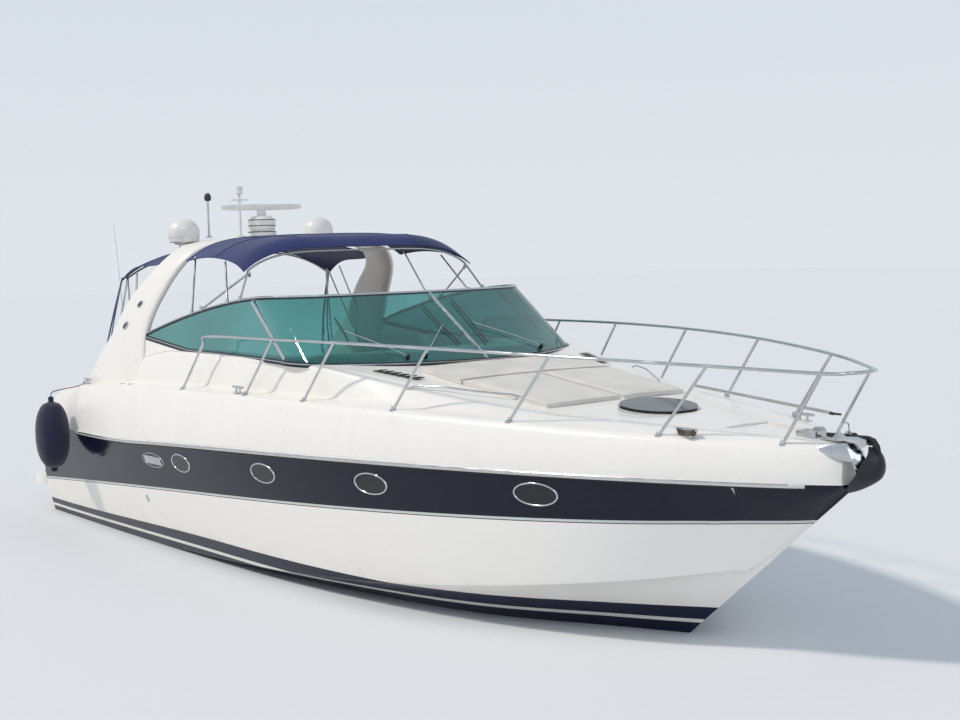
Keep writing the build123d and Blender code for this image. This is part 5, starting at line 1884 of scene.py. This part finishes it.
def camera_matrix():
    yaw, pitch, roll = (math.radians(a) for a in (CAMERA_YAW, CAMERA_PITCH, CAMERA_ROLL))
    ahead = Vector((math.cos(yaw) * math.cos(pitch), math.sin(yaw) * math.cos(pitch), math.sin(pitch)))
    right = Vector((math.sin(yaw), -math.cos(yaw), 0))
    up = right.cross(ahead)
    across = right * math.cos(roll) + up * math.sin(roll)
    rise = up * math.cos(roll) - right * math.sin(roll)
    matrix = Matrix((across, rise, -ahead)).transposed().to_4x4()
    matrix.translation = Vector(CAMERA_AT)
    return matrix


def sun(name, strength, towards, degrees, code):
    """Sun that shines from the given direction and looks as wide as the angle."""
    light = bpy.data.lights.new(name, "SUN")
    light.energy, light.angle, light.color = strength, math.radians(degrees), linear(code)[:3]
    obj = bpy.data.objects.new(name, light)
    bpy.context.scene.collection.objects.link(obj)
    obj.rotation_mode = "QUATERNION"
    obj.rotation_quaternion = Vector(towards).to_track_quat("Z", "Y")


def studio_world(scene):
    """Pale backdrop for the eye, for gloss and for glass, and a plain soft light on the object."""
    world = bpy.data.worlds.new("studio")
    world.use_nodes = True
    scene.world = world
    tree = world.node_tree
    tree.nodes.clear()
    path = node(tree, "LightPath")
    seen = maths(tree, "MAXIMUM", path.outputs["Is Camera Ray"], path.outputs["Is Glossy Ray"])
    seen = maths(tree, "MAXIMUM", seen, path.outputs["Is Transmission Ray"])
    height = node(tree, "SeparateXYZ", {0: node(tree, "TexCoord").outputs["Generated"]}).outputs[2]
    share = node(tree, "MapRange", {0: height, 1: 0.0, 2: 0.6, 3: 0.0, 4: 1.0}).outputs[0]
    sky = blend_colour(tree, share, linear("#dfe5eb"), linear("#c3d0dc"))
    backdrop = node(tree, "Background", {0: sky, 1: 1.0})
    light = node(tree, "Background", {0: linear("#dfe8f5"), 1: 0.62})
    mix = node(tree, "MixShader", {0: seen, 1: light.outputs[0], 2: backdrop.outputs[0]})
    node(tree, "OutputWorld", {0: mix.outputs[0]})


OPERATORS = [
    CRUISER_OT_finishes, CRUISER_OT_stage, CRUISER_OT_shells, CRUISER_OT_rub_rail, CRUISER_OT_ports,
    CRUISER_OT_stem_plate, CRUISER_OT_ground_tackle, CRUISER_OT_arch, CRUISER_OT_canopy_frame,
    CRUISER_OT_canopies, CRUISER_OT_windscreen, CRUISER_OT_bow_rail, CRUISER_OT_sunpads,
    CRUISER_OT_upholstery, CRUISER_OT_aerials, CRUISER_OT_arch_fittings, CRUISER_OT_deck_fittings,
    CRUISER_OT_ropes, CRUISER_OT_wipers, CRUISER_OT_helm, CRUISER_OT_fender, CRUISER_OT_stern,
]


class CRUISER_PT_panel(bpy.types.Panel):
    """Sizes, colours and one button for each group of pieces"""

    bl_idname = "CRUISER_PT_panel"
    bl_label = "Open motor cruiser"
    bl_space_type = "VIEW_3D"
    bl_region_type = "UI"
    bl_category = "Cruiser"

    def draw(self, context):
        layout = self.layout
        for group in (context.scene.cruiser_colours, context.scene.cruiser_sizes):
            column = layout.column()
            for key in group.__annotations__:
                column.prop(group, key)
        for operator in OPERATORS:
            layout.operator(operator.bl_idname)


CLASSES = [CruiserColours, CruiserSizes, *OPERATORS, CRUISER_PT_panel]


def register():
    for cls in CLASSES:
        bpy.utils.register_class(cls)
    bpy.types.Scene.cruiser_colours = PointerProperty(type=CruiserColours)
    bpy.types.Scene.cruiser_sizes = PointerProperty(type=CruiserSizes)


def unregister():
    del bpy.types.Scene.cruiser_colours
    del bpy.types.Scene.cruiser_sizes
    for cls in reversed(CLASSES):
        bpy.utils.unregister_class(cls)


def main():
    register()
    for operator in OPERATORS:
        group, name = operator.bl_idname.split(".")
        getattr(getattr(bpy.ops, group), name)()


if __name__ == "__main__":
    main()
